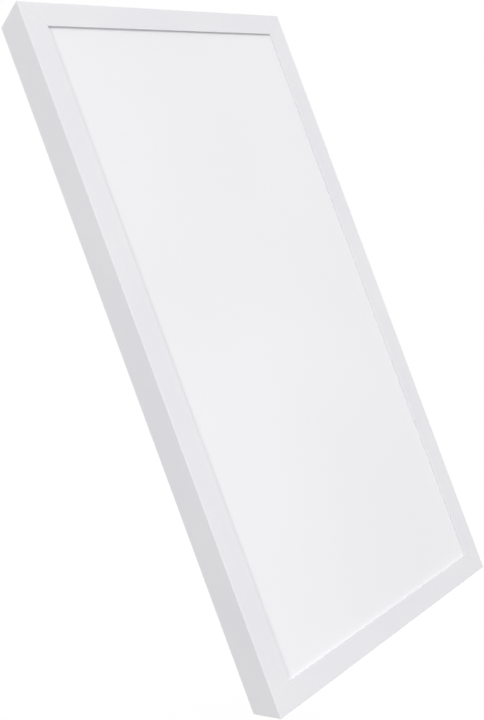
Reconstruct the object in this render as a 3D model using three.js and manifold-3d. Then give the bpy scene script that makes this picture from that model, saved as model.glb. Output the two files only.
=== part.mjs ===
// A surface-mounted LED panel light: a deep mitred aluminium frame with a wide front lip, and an edge-lit light
// module that slides into the frame's slot from one end, once that end rail is taken off.
//
// Millimetres, +Z up. The panel stands upright with its light facing -Y. The origin is on the wall face of the
// middle mounting bar, at the middle of the frame. "Depth" below is counted back from the front of the lip.
import * as THREE from "three";
import { mergeVertices } from "three/addons/utils/BufferGeometryUtils.js";
import Module from "manifold-3d";

const wasm = await Module();
wasm.setup();

// ---- Driving dimensions ----

// Frame
const FRAME_WIDTH = 600;
const FRAME_HEIGHT = 1200;
const FRAME_DEPTH = 68;
const RAIL_WALL = 1.6;
const LIP_WIDTH = 41;
const LIP_RETURN = 3.3;
const RETURN_WALL = 1.4;
const EDGE_RADIUS = 1.2;
const LEDGE_WIDTH = 14.4;
const FLANGE_WIDTH = 14.4;
const RIB_WIDTH = 11.4;
const MITRE_GAP = 0.05;

// Corner keys and their grub screws
const KEY_THICKNESS = 4;
const KEY_WIDTH = 13;
const KEY_LEG = 52;
const KEY_SCREW_RADIUS = 2;
const KEY_SCREW_INSET = 10;
const ACCESS_HOLE_RADIUS = 2.6;

// Light module
const BEZEL_WALL = 1.4;
const BEZEL_LIP_WIDTH = 12;
const BEZEL_LIP_THICKNESS = 1;
const BEZEL_LEG_WIDTH = 10;
const BEZEL_LEG_THICKNESS = 1;
const DIFFUSER_THICKNESS = 1.5;
const DIFFUSER_EDGE_GAP = 0.5;
const DIFFUSER_SIDE_GAP = 1;
const GUIDE_THICKNESS = 3;
const GUIDE_LED_GAP = 0.4;
const REFLECTOR_THICKNESS = 0.3;
const FOAM_THICKNESS = 3.1;
const FOAM_SIDE_GAP = 1;
const PLATE_THICKNESS = 0.5;
const PLATE_EDGE = 0.6;
const STRIP_THICKNESS = 1;
const STRIP_END_GAP = 1;
const LED_COUNT = 36;
const LED_LENGTH = 3;
const LED_HEIGHT = 0.7;
const LED_MARGIN = 18;
const PLATE_SCREW_RADIUS = 1.5;
const PLATE_SCREW_HEAD_RADIUS = 2.8;
const PLATE_SCREW_LENGTH = 3.4;
const PLATE_SCREW_END_DISTANCE = 200;
const PLATE_SCREW_SIDE_DISTANCE = 150;

// Mounting bars
const BAR_WIDTH = 60;
const BAR_THICKNESS = 1.5;
const BAR_LIP = 8;
const BAR_END_DISTANCE = 180;
const BAR_JOGGLE = 6;
const BAR_SCREW_RADIUS = 2;
const BAR_SCREW_HEAD_RADIUS = 3.6;
const BAR_SCREW_LENGTH = 4.4;
const KEYHOLE_OFFSET = 150;
const KEYHOLE_HEAD_RADIUS = 5;
const KEYHOLE_SHANK_RADIUS = 2.75;
const KEYHOLE_RISE = 13;

// Cable entry
const GROMMET_BORE_RADIUS = 6;
const GROMMET_WALL = 3;
const GROMMET_FLANGE = 3.2;
const GROMMET_FLANGE_THICKNESS = 2;
const GROMMET_X = 90;
const DIMPLE_SIDE = 46;
const DIMPLE_HEIGHT = 5;

// Driver
const DRIVER_LENGTH = 150;
const DRIVER_WIDTH = 46;
const DRIVER_HEIGHT = 28;
const DRIVER_FLOOR = 2;
const DRIVER_WALL = 1.8;
const DRIVER_EAR = 12;
const DRIVER_X = -30;
const DRIVER_Z = 170;
const DRIVER_BOARD_THICKNESS = 1.6;
const BOARD_END_GAP = 12;
const BOARD_SIDE_GAP = 1;
const BOARD_BLOCKS = [
  { x: 0, z: 0, width: 24, height: 22, tall: 14 },
  { x: 32, z: -6, width: 14, height: 12, tall: 11 },
  { x: 34, z: 11, width: 16, height: 6, tall: 10 },
];
const BOARD_CANS = [
  { x: -34, z: 6, radius: 6, tall: 15 },
  { x: -34, z: -9, radius: 5, tall: 12 },
];
const DRIVER_SCREW_RADIUS = 1.5;
const DRIVER_SCREW_HEAD_RADIUS = 2.8;
const DRIVER_SCREW_HEAD_HEIGHT = 2;

// Leads
const OUTPUT_LEAD_RADIUS = 2.5;
const INPUT_LEAD_RADIUS = 3.5;
const CORE_RADIUS = 1.1;
const CLIP_WALL = 1.4;
const CLIP_BASE = 1.2;
const CLIP_LENGTH = 9;
const CLIP_FOOT = 16;
const CLIP_SPACING = 34;
const CLIP_PITCHES = [0.7, 1.7];
const LEAD_TUCK = 8;
const LEAD_EXIT = 7;
const LEAD_ARCH = 9;
const GLAND_RUN = 42;
const GLAND_WALL = 2;
const GLAND_FLANGE = 2;
const JUMPER_WIDTH = 8;
const JUMPER_THICKNESS = 0.4;
const JUMPER_COVER = 1.4;

// Terminal block
const TERMINAL_ACROSS = 45;
const TERMINAL_DROP = 74;
const TERMINAL_HEIGHT = 34;
const TERMINAL_DEPTH = 16;
const TERMINAL_END_WALL = 2.4;
const POLES = 3;
const POLE_WALL = 1.8;
const LEVER_WIDTH = 6.6;
const LEVER_THICKNESS = 3.4;
const LEVER_LENGTH = 21;
const PIVOT_RADIUS = 0.9;
const PIVOT_STUB_GAP = 0.6;
const WIRE_ENTRY_RADIUS = 1.9;
const WIRE_ENTRY_DEPTH = 12;
const WIRE_ENTRY_HEIGHT = 5;

// Clearances
const SEAT_GAP = 0.2;
const MODULE_SIDE_GAP = 0.9;
const MODULE_FRONT_GAP = 0.3;
const MODULE_BACK_GAP = 0.5;
const LAYER_GAP = 0.1;
const HOLE_GAP = 0.3;
const FLUSH_GAP = 0.1;
const LEVER_GAP = 0.4;

// ---- Places worked out from them ----

const moduleWidth = FRAME_WIDTH - 2 * (RAIL_WALL + MODULE_SIDE_GAP);
const moduleHeight = FRAME_HEIGHT - 2 * (RAIL_WALL + MODULE_SIDE_GAP);

// The module's layers, from its front to its back.
const moduleFront = LIP_RETURN + MODULE_FRONT_GAP;
const diffuserFront = moduleFront + BEZEL_LIP_THICKNESS + LAYER_GAP;
const guideFront = diffuserFront + DIFFUSER_THICKNESS + LAYER_GAP;
const reflectorFront = guideFront + GUIDE_THICKNESS + LAYER_GAP;
const foamFront = reflectorFront + REFLECTOR_THICKNESS + LAYER_GAP;
const plateFront = foamFront + FOAM_THICKNESS + LAYER_GAP;
const plateBack = plateFront + PLATE_THICKNESS;
const bezelLegBack = plateFront - LAYER_GAP;
const bezelLegFront = bezelLegBack - BEZEL_LEG_THICKNESS;

// The frame's slot for the module and its channel for the keys.
const ledgeFront = plateBack + MODULE_BACK_GAP;
const flangeFront = FRAME_DEPTH - RAIL_WALL;
const keyBack = flangeFront - SEAT_GAP;
const keyFront = keyBack - KEY_THICKNESS;
const ribBack = keyFront - SEAT_GAP;
const keyInset = RAIL_WALL + HOLE_GAP;
const keyScrewInset = keyInset + KEY_WIDTH / 2;
const keyScrewAlong = KEY_LEG - KEY_SCREW_INSET;

// The mounting bars' ends lie on the flanges, in the key channel.
const barEndBack = flangeFront - SEAT_GAP;
const barEndFront = barEndBack - BAR_THICKNESS;
const barEndInset = RAIL_WALL + HOLE_GAP;
const barScrewInset = RAIL_WALL + FLANGE_WIDTH / 2;
const webFront = FRAME_DEPTH - BAR_THICKNESS;
const joggleStart = RAIL_WALL + FLANGE_WIDTH + 1;

// What stands on the module's back plate.
const onPlate = plateBack + SEAT_GAP;
const jumperFront = foamFront + JUMPER_COVER;
const glandRadius = OUTPUT_LEAD_RADIUS + HOLE_GAP + GLAND_WALL;
const outputLeadDepth = onPlate + CLIP_BASE + CLIP_WALL / 2 + HOLE_GAP + OUTPUT_LEAD_RADIUS;
const driverEnd = DRIVER_LENGTH / 2;
const outputStart = DRIVER_X - driverEnd;
const inputStart = DRIVER_X + driverEnd;
const clipX = CLIP_PITCHES.map((pitches) => outputStart - DRIVER_EAR - pitches * CLIP_SPACING);
const glandX = clipX[1] - GLAND_RUN;
const terminalX = inputStart + TERMINAL_ACROSS;
const terminalZ = DRIVER_Z - TERMINAL_DROP;
const wellWidth = LEVER_WIDTH + 2 * HOLE_GAP;
const polePitch = wellWidth + POLE_WALL;
const pivotReach = LEVER_WIDTH / 2 + HOLE_GAP + (POLE_WALL - PIVOT_STUB_GAP) / 2;
const terminalBack = onPlate + TERMINAL_DEPTH;
const terminalTop = terminalZ + TERMINAL_HEIGHT / 2;
const terminalWidth = POLES * polePitch + 2 * TERMINAL_END_WALL;
const leverWell = LEVER_THICKNESS + LEVER_GAP;
const pivotDepth = terminalBack - LEVER_THICKNESS / 2;
const pivotZ = terminalZ - TERMINAL_HEIGHT / 2 + LEVER_LENGTH;

// ---- Finishes ----

const finish = (color, roughness, metalness) => new THREE.MeshStandardMaterial({ color, roughness, metalness });
const FINISHES = {
  whitePowderCoat: [0xe6e5e8, 0.5, 0],
  opalSheet: [0xf1f0f2, 0.35, 0],
  clearAcrylic: [0xe8f0f0, 0.1, 0],
  whiteFilm: [0xf7f7f7, 0.6, 0],
  greyFoam: [0x7d8083, 0.95, 0],
  zincSteel: [0xb4b8bb, 0.4, 0.9],
  castAlloy: [0xa9adb0, 0.5, 0.85],
  darkSteel: [0x3a3c3f, 0.45, 0.8],
  whitePlate: [0xdfe0e1, 0.5, 0.1],
  boardWhite: [0xf2f2ea, 0.5, 0],
  boardGreen: [0x2f6b45, 0.5, 0],
  casing: [0xeeeeec, 0.45, 0],
  blackRubber: [0x1d1e20, 0.8, 0],
  whiteSheath: [0xe9e9e6, 0.6, 0],
  greyPlastic: [0xc9cbcc, 0.5, 0],
  orangePlastic: [0xe27a21, 0.45, 0],
};

// ---- Making and cutting solids ----

const RIGHT_ANGLE = Math.PI / 2;
const y = (depth) => depth - FRAME_DEPTH;

function solid(geometry) {
  const bare = geometry.clone();
  bare.deleteAttribute("normal");
  bare.deleteAttribute("uv");
  const merged = mergeVertices(bare, 1e-4);
  return new wasm.Manifold(
    new wasm.Mesh({
      numProp: 3,
      vertProperties: merged.attributes.position.array,
      triVerts: new Uint32Array(merged.index.array),
    }),
  );
}

function geometryOf(manifold) {
  const mesh = manifold.getMesh();
  const geometry = new THREE.BufferGeometry();
  geometry.setAttribute("position", new THREE.BufferAttribute(mesh.vertProperties, 3));
  geometry.setIndex(new THREE.BufferAttribute(mesh.triVerts, 1));
  geometry.computeVertexNormals();
  return geometry;
}

const join = (first, ...others) => geometryOf(others.reduce((all, g) => all.add(solid(g)), solid(first)));
const cut = (first, ...tools) => geometryOf(tools.reduce((left, g) => left.subtract(solid(g)), solid(first)));

// An outline of straight sides.
const outline = (points) => new THREE.Shape(points.map(([a, b]) => new THREE.Vector2(a, b)));

// A prism of a shape, along +Z.
const prism = (shape, length) =>
  new THREE.ExtrudeGeometry(shape, { depth: length, bevelEnabled: false, curveSegments: 6 });

// A block between two values of x, two depths and two values of z.
function block([left, right], [front, back], [low, high]) {
  return new THREE.BoxGeometry(right - left, back - front, high - low).translate(
    (left + right) / 2,
    y((front + back) / 2),
    (low + high) / 2,
  );
}

// A block centred on x and z.
const slab = (x, z, width, height, front, back) =>
  block([x - width / 2, x + width / 2], [front, back], [z - height / 2, z + height / 2]);

// A round bar from one depth to another.
function post(x, z, radius, front, back, sides = 12) {
  return new THREE.CylinderGeometry(radius, radius, back - front, sides).translate(x, y((front + back) / 2), z);
}

// A turned shape about a line along the depth: each point of its profile is a radius and a depth.
function turned(x, z, profile, sides = 12) {
  const points = profile.map(([radius, depth]) => new THREE.Vector2(radius, y(depth)));
  return new THREE.LatheGeometry(points, sides).translate(x, 0, z);
}

// A round lead along a smooth line of points, each [x, depth, z].
function lead(points, radius, steps, sides = 8) {
  const path = new THREE.CatmullRomCurve3(points.map(([x, depth, z]) => new THREE.Vector3(x, y(depth), z)));
  const section = new THREE.Shape();
  for (let side = 0; side < sides; side += 1) {
    const angle = (2 * Math.PI * side) / sides;
    const corner = [radius * Math.cos(angle), radius * Math.sin(angle)];
    if (side === 0) section.moveTo(...corner);
    else section.lineTo(...corner);
  }
  section.closePath();
  return new THREE.ExtrudeGeometry(section, { extrudePath: path, steps });
}

// ---- The part ----

const part = new THREE.Group();

function add(name, geometry, finishName) {
  const mesh = new THREE.Mesh(geometry, finish(...FINISHES[finishName]));
  mesh.name = name;
  part.add(mesh);
  return mesh;
}

// The four sides of a rectangle: how far each is turned from the bottom one, and where its outer face lies.
const sidesOf = (width, height) => ({
  bottom: { turn: 0, length: width, place: [0, 0, -height / 2] },
  left: { turn: RIGHT_ANGLE, length: height, place: [-width / 2, 0, 0] },
  right: { turn: -RIGHT_ANGLE, length: height, place: [width / 2, 0, 0] },
  top: { turn: 2 * RIGHT_ANGLE, length: width, place: [0, 0, height / 2] },
});

function placeSide(mesh, { turn, place }) {
  mesh.rotation.y = turn;
  mesh.position.set(...place);
  return mesh;
}

// A rail along X whose section runs inward, along +Z, and back. Each end is mitred.
function mitredRail(section, length, gap) {
  const geometry = prism(section, length);
  const corners = geometry.attributes.position;
  for (let i = 0; i < corners.count; i += 1) {
    const inward = corners.getX(i);
    const end = length / 2 - inward - gap;
    corners.setZ(i, corners.getZ(i) > length / 2 ? end : -end);
  }
  return geometry.rotateY(-RIGHT_ANGLE).translate(0, -FRAME_DEPTH, 0);
}

// ---- Frame rails ----

function railSection() {
  const r = EDGE_RADIUS;
  const shape = new THREE.Shape();
  shape.moveTo(0, FRAME_DEPTH);
  shape.lineTo(0, r);
  shape.absarc(r, r, r, Math.PI, 1.5 * Math.PI, false);
  shape.lineTo(LIP_WIDTH, 0);
  shape.lineTo(LIP_WIDTH, LIP_RETURN);
  shape.lineTo(LIP_WIDTH - RETURN_WALL, LIP_RETURN);
  shape.lineTo(LIP_WIDTH - RETURN_WALL, RAIL_WALL);
  shape.lineTo(RAIL_WALL, RAIL_WALL);
  for (const [front, back, width] of [
    [ledgeFront, ledgeFront + RAIL_WALL, LEDGE_WIDTH],
    [ribBack - RAIL_WALL, ribBack, RIB_WIDTH],
  ]) {
    shape.lineTo(RAIL_WALL, front);
    shape.lineTo(RAIL_WALL + width, front);
    shape.lineTo(RAIL_WALL + width, back);
    shape.lineTo(RAIL_WALL, back);
  }
  shape.lineTo(RAIL_WALL, flangeFront);
  shape.lineTo(RAIL_WALL + FLANGE_WIDTH, flangeFront);
  shape.lineTo(RAIL_WALL + FLANGE_WIDTH, FRAME_DEPTH);
  shape.closePath();
  return shape;
}

// The profile of a countersunk screw whose head is flush at a depth.
const countersunk = ({ head, shank, back, length }) => [
  [0, back - length],
  [shank, back - length],
  [shank, back - (head - shank)],
  [head, back],
  [0, back],
];

// The profile of the hole that such a screw lies in.
const countersink = ({ head, shank, back, length }) => [
  [0, back - length - 1],
  [shank + HOLE_GAP, back - length - 1],
  [shank + HOLE_GAP, back - (head - shank)],
  [head + HOLE_GAP, back],
  [head + HOLE_GAP, back + 1],
  [0, back + 1],
];

const barScrew = {
  head: BAR_SCREW_HEAD_RADIUS,
  shank: BAR_SCREW_RADIUS,
  back: FRAME_DEPTH - FLUSH_GAP,
  length: BAR_SCREW_LENGTH,
};

const frameSides = sidesOf(FRAME_WIDTH, FRAME_HEIGHT);
const barOffset = FRAME_HEIGHT / 2 - BAR_END_DISTANCE;
const barHeights = { upper: barOffset, middle: 0, lower: -barOffset };

for (const [side, where] of Object.entries(frameSides)) {
  const takesBars = side === "left" || side === "right";
  const fromMiddle = where.length / 2 - keyScrewAlong;
  const holes = [-fromMiddle, fromMiddle].map((x) =>
    post(x, keyScrewInset, ACCESS_HOLE_RADIUS, flangeFront - 1, FRAME_DEPTH + 1),
  );
  if (takesBars)
    for (const height of Object.values(barHeights)) holes.push(turned(height, barScrewInset, countersink(barScrew)));
  const rail = cut(mitredRail(railSection(), where.length, MITRE_GAP), ...holes);
  placeSide(add("rail_" + side, rail, "whitePowderCoat"), where);
}

// ---- Corner keys: L-shaped plates in the rails' rear channels ----

function keyGeometry() {
  const near = keyInset;
  const far = keyInset + KEY_WIDTH;
  const corner = outline([
    [near, near],
    [KEY_LEG, near],
    [KEY_LEG, far],
    [far, far],
    [far, KEY_LEG],
    [near, KEY_LEG],
  ]);
  for (const [a, b] of [
    [keyScrewAlong, keyScrewInset],
    [keyScrewInset, keyScrewAlong],
  ]) {
    const hole = new THREE.Path();
    hole.absarc(a, b, KEY_SCREW_RADIUS + HOLE_GAP, 0, 2 * Math.PI, true);
    corner.holes.push(hole);
  }
  return prism(corner, KEY_THICKNESS).rotateX(RIGHT_ANGLE).translate(0, y(keyBack), 0);
}

const grubScrew = (a, b) =>
  turned(a, b, [
    [0, keyFront + SEAT_GAP],
    [KEY_SCREW_RADIUS - 0.5, keyFront + SEAT_GAP],
    [KEY_SCREW_RADIUS, keyFront + SEAT_GAP + 0.5],
    [KEY_SCREW_RADIUS, keyBack],
    [KEY_SCREW_RADIUS / 2, keyBack],
    [KEY_SCREW_RADIUS / 2, keyBack - 1.8],
    [0, keyBack - 1.8],
  ]);

const corners = {
  bottom_left: { turn: 0, place: [-1, -1] },
  bottom_right: { turn: -RIGHT_ANGLE, place: [1, -1] },
  top_right: { turn: 2 * RIGHT_ANGLE, place: [1, 1] },
  top_left: { turn: RIGHT_ANGLE, place: [-1, 1] },
};

for (const [name, { turn, place }] of Object.entries(corners)) {
  const at = [(place[0] * FRAME_WIDTH) / 2, 0, (place[1] * FRAME_HEIGHT) / 2];
  placeSide(add("corner_key_" + name, keyGeometry(), "castAlloy"), { turn, place: at });
  placeSide(add("key_screw_a_" + name, grubScrew(keyScrewAlong, keyScrewInset), "darkSteel"), { turn, place: at });
  placeSide(add("key_screw_b_" + name, grubScrew(keyScrewInset, keyScrewAlong), "darkSteel"), { turn, place: at });
}

// ---- Mounting bars: joggled strips with turned edges, flush with the back of the frame ----

function barGeometry() {
  const end = FRAME_WIDTH / 2 - barEndInset;
  const bend = FRAME_WIDTH / 2 - joggleStart;
  const flat = bend - BAR_JOGGLE;
  const section = outline([
    [-end, barEndFront],
    [-bend, barEndFront],
    [-flat, webFront],
    [flat, webFront],
    [bend, barEndFront],
    [end, barEndFront],
    [end, barEndBack],
    [bend, barEndBack],
    [flat, FRAME_DEPTH],
    [-flat, FRAME_DEPTH],
    [-bend, barEndBack],
    [-end, barEndBack],
  ]);
  const strip = prism(section, BAR_WIDTH).translate(0, -FRAME_DEPTH, -BAR_WIDTH / 2);
  const lipReach = flat - BAR_JOGGLE;
  const turnedEdges = [-1, 1].map((side) => {
    const outer = (side * BAR_WIDTH) / 2;
    const inner = outer - side * BAR_THICKNESS;
    const across = [Math.min(outer, inner), Math.max(outer, inner)];
    return block([-lipReach, lipReach], [webFront - BAR_LIP, FRAME_DEPTH], across);
  });
  const screwHoles = [-1, 1].map((side) =>
    post(side * (FRAME_WIDTH / 2 - barScrewInset), 0, BAR_SCREW_RADIUS + HOLE_GAP, barEndFront - 1, FRAME_DEPTH),
  );
  return cut(join(strip, ...turnedEdges), ...screwHoles);
}

// Keyholes: the screw's head goes through the round, and its shank up the slot.
function keyhole(x) {
  const slot = slab(x, KEYHOLE_RISE / 2, 2 * KEYHOLE_SHANK_RADIUS, KEYHOLE_RISE, webFront - 1, FRAME_DEPTH + 1);
  const round = post(x, 0, KEYHOLE_HEAD_RADIUS, webFront - 1, FRAME_DEPTH + 1, 16);
  const end = post(x, KEYHOLE_RISE, KEYHOLE_SHANK_RADIUS, webFront - 1, FRAME_DEPTH + 1, 16);
  return [slot, round, end];
}

const keyholes = [-KEYHOLE_OFFSET, KEYHOLE_OFFSET].flatMap(keyhole);
for (const name of ["upper", "lower"])
  add("bar_" + name, cut(barGeometry(), ...keyholes), "zincSteel").position.z = barHeights[name];

// The middle bar has a raised square for the cable entry, so that the grommet stays in front of the wall.
const dimpleFront = webFront - DIMPLE_HEIGHT;
const grommetNeck = GROMMET_BORE_RADIUS + GROMMET_WALL;
const raised = slab(GROMMET_X, 0, DIMPLE_SIDE, DIMPLE_SIDE, dimpleFront, webFront + BAR_THICKNESS / 2);
const recess = slab(
  GROMMET_X,
  0,
  DIMPLE_SIDE - 2 * BAR_THICKNESS,
  DIMPLE_SIDE - 2 * BAR_THICKNESS,
  dimpleFront + BAR_THICKNESS,
  FRAME_DEPTH + 1,
);
const entryHole = post(GROMMET_X, 0, grommetNeck + HOLE_GAP, dimpleFront - 1, FRAME_DEPTH, 20);
const middleHoles = [-KEYHOLE_OFFSET, KEYHOLE_OFFSET].map((x) =>
  post(x, 0, KEYHOLE_SHANK_RADIUS, webFront - 1, FRAME_DEPTH + 1, 16),
);
add("bar_middle", cut(join(barGeometry(), raised), recess, entryHole, ...middleHoles), "zincSteel");

for (const [name, height] of Object.entries(barHeights))
  for (const [side, sign] of [
    ["left", -1],
    ["right", 1],
  ]) {
    const x = sign * (FRAME_WIDTH / 2 - barScrewInset);
    add("bar_screw_" + name + "_" + side, turned(x, height, countersunk(barScrew)), "darkSteel");
  }

// A rubber ring with a groove that grips the edge of a hole in a sheet.
function grooveRing(x, z, bore, neck, flange, thickness, sheetFront, sheetBack, sides) {
  const front = sheetFront - SEAT_GAP;
  const back = sheetBack + SEAT_GAP;
  return turned(
    x,
    z,
    [
      [bore, front - thickness],
      [flange, front - thickness],
      [flange, front],
      [neck, front],
      [neck, back],
      [flange, back],
      [flange, back + thickness],
      [bore, back + thickness],
      [bore, front - thickness],
    ],
    sides,
  );
}

add(
  "cable_grommet",
  grooveRing(
    GROMMET_X,
    0,
    GROMMET_BORE_RADIUS,
    grommetNeck,
    grommetNeck + GROMMET_FLANGE,
    GROMMET_FLANGE_THICKNESS,
    dimpleFront,
    dimpleFront + BAR_THICKNESS,
    20,
  ),
  "blackRubber",
);

// ---- Light module: its bezel ----

const bezelSection = outline([
  [0, moduleFront],
  [BEZEL_LIP_WIDTH, moduleFront],
  [BEZEL_LIP_WIDTH, moduleFront + BEZEL_LIP_THICKNESS],
  [BEZEL_WALL, moduleFront + BEZEL_LIP_THICKNESS],
  [BEZEL_WALL, bezelLegFront],
  [BEZEL_LEG_WIDTH, bezelLegFront],
  [BEZEL_LEG_WIDTH, bezelLegBack],
  [0, bezelLegBack],
]);
const plateScrewInset = (BEZEL_WALL + BEZEL_LEG_WIDTH) / 2;
const plateScrew = {
  head: PLATE_SCREW_HEAD_RADIUS,
  shank: PLATE_SCREW_RADIUS,
  back: plateBack - FLUSH_GAP,
  length: PLATE_SCREW_LENGTH,
};
const plateScrewsAlong = {
  left: moduleHeight / 2 - PLATE_SCREW_END_DISTANCE,
  right: moduleHeight / 2 - PLATE_SCREW_END_DISTANCE,
  top: moduleWidth / 2 - PLATE_SCREW_SIDE_DISTANCE,
  bottom: moduleWidth / 2 - PLATE_SCREW_SIDE_DISTANCE,
};
const moduleSides = sidesOf(moduleWidth, moduleHeight);

for (const [side, where] of Object.entries(moduleSides)) {
  const along = plateScrewsAlong[side];
  const sinks = [-along, along].map((x) => turned(x, plateScrewInset, countersink(plateScrew)));
  const bezel = cut(mitredRail(bezelSection, where.length, MITRE_GAP), ...sinks);
  placeSide(add("bezel_" + side, bezel, "castAlloy"), where);
}

// ---- Light module: the sheets, from front to back ----

const sheet = (edge, front, thickness) =>
  slab(0, 0, moduleWidth - 2 * edge, moduleHeight - 2 * edge, front, front + thickness);
const stripEdge = BEZEL_WALL + LAYER_GAP;
const ledFace = stripEdge + STRIP_THICKNESS + LED_HEIGHT;
const guideEdge = ledFace + GUIDE_LED_GAP;
const foamEdge = BEZEL_LEG_WIDTH + FOAM_SIDE_GAP;

// The diffuser is a shallow formed tray: its face lies level with the bezel's lip, and its rim lies behind that lip.
const faceEdge = BEZEL_LIP_WIDTH + DIFFUSER_EDGE_GAP;
const diffuserFace = sheet(faceEdge, moduleFront, DIFFUSER_THICKNESS);
const diffuserRim = cut(
  sheet(BEZEL_WALL + DIFFUSER_SIDE_GAP, diffuserFront, DIFFUSER_THICKNESS),
  sheet(faceEdge + DIFFUSER_THICKNESS, diffuserFront - 1, DIFFUSER_THICKNESS + 2),
);
add("diffuser", join(diffuserRim, diffuserFace), "opalSheet");
add("light_guide", sheet(guideEdge, guideFront, GUIDE_THICKNESS), "clearAcrylic");
add("reflector_sheet", sheet(guideEdge, reflectorFront, REFLECTOR_THICKNESS), "whiteFilm");

const jumperGroove = slab(0, DRIVER_Z, moduleWidth, 2 * JUMPER_WIDTH, jumperFront - SEAT_GAP, plateFront);
add("foam_sheet", cut(sheet(foamEdge, foamFront, FOAM_THICKNESS), jumperGroove), "greyFoam");

const jumperLength = moduleWidth - 2 * (stripEdge + STRIP_THICKNESS + HOLE_GAP);
const jumperBack = jumperFront + JUMPER_THICKNESS;
add("strip_jumper", slab(0, DRIVER_Z, jumperLength, JUMPER_WIDTH, jumperFront, jumperBack), "whiteFilm");

// ---- Light module: LED strips on the inner faces of the long bezel rails ----

function stripGeometry() {
  const length = moduleHeight - 2 * (BEZEL_WALL + STRIP_END_GAP);
  const pitch = (length - 2 * LED_MARGIN) / (LED_COUNT - 1);
  const board = slab(0, 0, length, STRIP_THICKNESS, guideFront + LAYER_GAP, jumperBack);
  const comb = [[-length / 2, 0]];
  for (let led = 0; led < LED_COUNT; led += 1) {
    const middle = (led - (LED_COUNT - 1) / 2) * pitch;
    comb.push([middle - LED_LENGTH / 2, 0], [middle - LED_LENGTH / 2, LED_HEIGHT]);
    comb.push([middle + LED_LENGTH / 2, LED_HEIGHT], [middle + LED_LENGTH / 2, 0]);
  }
  comb.push([length / 2, 0], [length / 2, -STRIP_THICKNESS / 2], [-length / 2, -STRIP_THICKNESS / 2]);
  const leds = prism(outline(comb), GUIDE_THICKNESS - 4 * LAYER_GAP);
  leds.rotateX(RIGHT_ANGLE).translate(0, y(reflectorFront - 3 * LAYER_GAP), STRIP_THICKNESS / 2);
  return join(board, leds).translate(0, 0, stripEdge + STRIP_THICKNESS / 2);
}

for (const side of ["left", "right"])
  placeSide(add("led_strip_" + side, stripGeometry(), "boardWhite"), moduleSides[side]);

// ---- Light module: back plate, with its screws and the hole for the output lead ----

const plateSpots = Object.entries(moduleSides).flatMap(([side, where]) =>
  [-plateScrewsAlong[side], plateScrewsAlong[side]].map((along, i) => {
    const spot = new THREE.Vector3(along, 0, plateScrewInset);
    spot.applyAxisAngle(new THREE.Vector3(0, 1, 0), where.turn).add(new THREE.Vector3(...where.place));
    return { name: "plate_screw_" + side + "_" + (i + 1), x: spot.x, z: spot.z };
  }),
);
for (const { name, x, z } of plateSpots) add(name, turned(x, z, countersunk(plateScrew)), "darkSteel");

const driverScrewX = [-1, 1].map((side) => DRIVER_X + (side * (DRIVER_LENGTH + DRIVER_EAR)) / 2);
const driverScrewHoles = driverScrewX.map((x) =>
  post(x, DRIVER_Z, DRIVER_SCREW_RADIUS + HOLE_GAP, plateFront - 1, plateBack + 1),
);
add(
  "back_plate",
  cut(
    sheet(PLATE_EDGE, plateFront, PLATE_THICKNESS),
    ...plateSpots.map(({ x, z }) => turned(x, z, countersink(plateScrew))),
    ...driverScrewHoles,
    post(glandX, DRIVER_Z, glandRadius + HOLE_GAP, plateFront - 1, plateBack + 1),
  ),
  "whitePlate",
);

add(
  "lead_gland",
  grooveRing(
    glandX,
    DRIVER_Z,
    OUTPUT_LEAD_RADIUS + HOLE_GAP,
    glandRadius,
    glandRadius + GLAND_FLANGE,
    1,
    plateFront,
    plateBack,
    16,
  ),
  "blackRubber",
);

// ---- Driver: base with an ear at each end, board, lid ----

const driverFloorBack = onPlate + DRIVER_FLOOR;
const lidFront = driverFloorBack + SEAT_GAP;
const lidBack = onPlate + DRIVER_HEIGHT;
const leadExitDepth = lidFront + LEAD_EXIT;

add(
  "driver_base",
  cut(
    join(
      slab(DRIVER_X, DRIVER_Z, DRIVER_LENGTH, DRIVER_WIDTH, onPlate, driverFloorBack),
      slab(DRIVER_X, DRIVER_Z, DRIVER_LENGTH + 2 * DRIVER_EAR, DRIVER_WIDTH / 3, onPlate, driverFloorBack),
      ...[-1, 1].map((side) =>
        slab(
          DRIVER_X,
          DRIVER_Z + (side * DRIVER_WIDTH) / 4,
          DRIVER_LENGTH / 2,
          DRIVER_FLOOR,
          driverFloorBack - DRIVER_FLOOR / 2,
          driverFloorBack + DRIVER_FLOOR,
        ),
      ),
    ),
    ...driverScrewX.map((x) => post(x, DRIVER_Z, DRIVER_SCREW_RADIUS + HOLE_GAP, onPlate - 1, driverFloorBack + 1)),
  ),
  "casing",
);

const boardFront = driverFloorBack + DRIVER_FLOOR + SEAT_GAP;
const boardBack = boardFront + DRIVER_BOARD_THICKNESS;
const boardLength = DRIVER_LENGTH - 2 * (DRIVER_WALL + BOARD_END_GAP);
const boardWidth = DRIVER_WIDTH - 2 * (DRIVER_WALL + BOARD_SIDE_GAP);
const overBoard = boardBack - DRIVER_BOARD_THICKNESS / 2;
add(
  "driver_board",
  join(
    slab(DRIVER_X, DRIVER_Z, boardLength, boardWidth, boardFront, boardBack),
    ...BOARD_BLOCKS.map(({ x, z, width, height, tall }) =>
      slab(DRIVER_X + x, DRIVER_Z + z, width, height, overBoard, boardBack + tall),
    ),
    ...BOARD_CANS.map(({ x, z, radius, tall }) =>
      post(DRIVER_X + x, DRIVER_Z + z, radius, overBoard, boardBack + tall, 16),
    ),
  ),
  "boardGreen",
);

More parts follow.
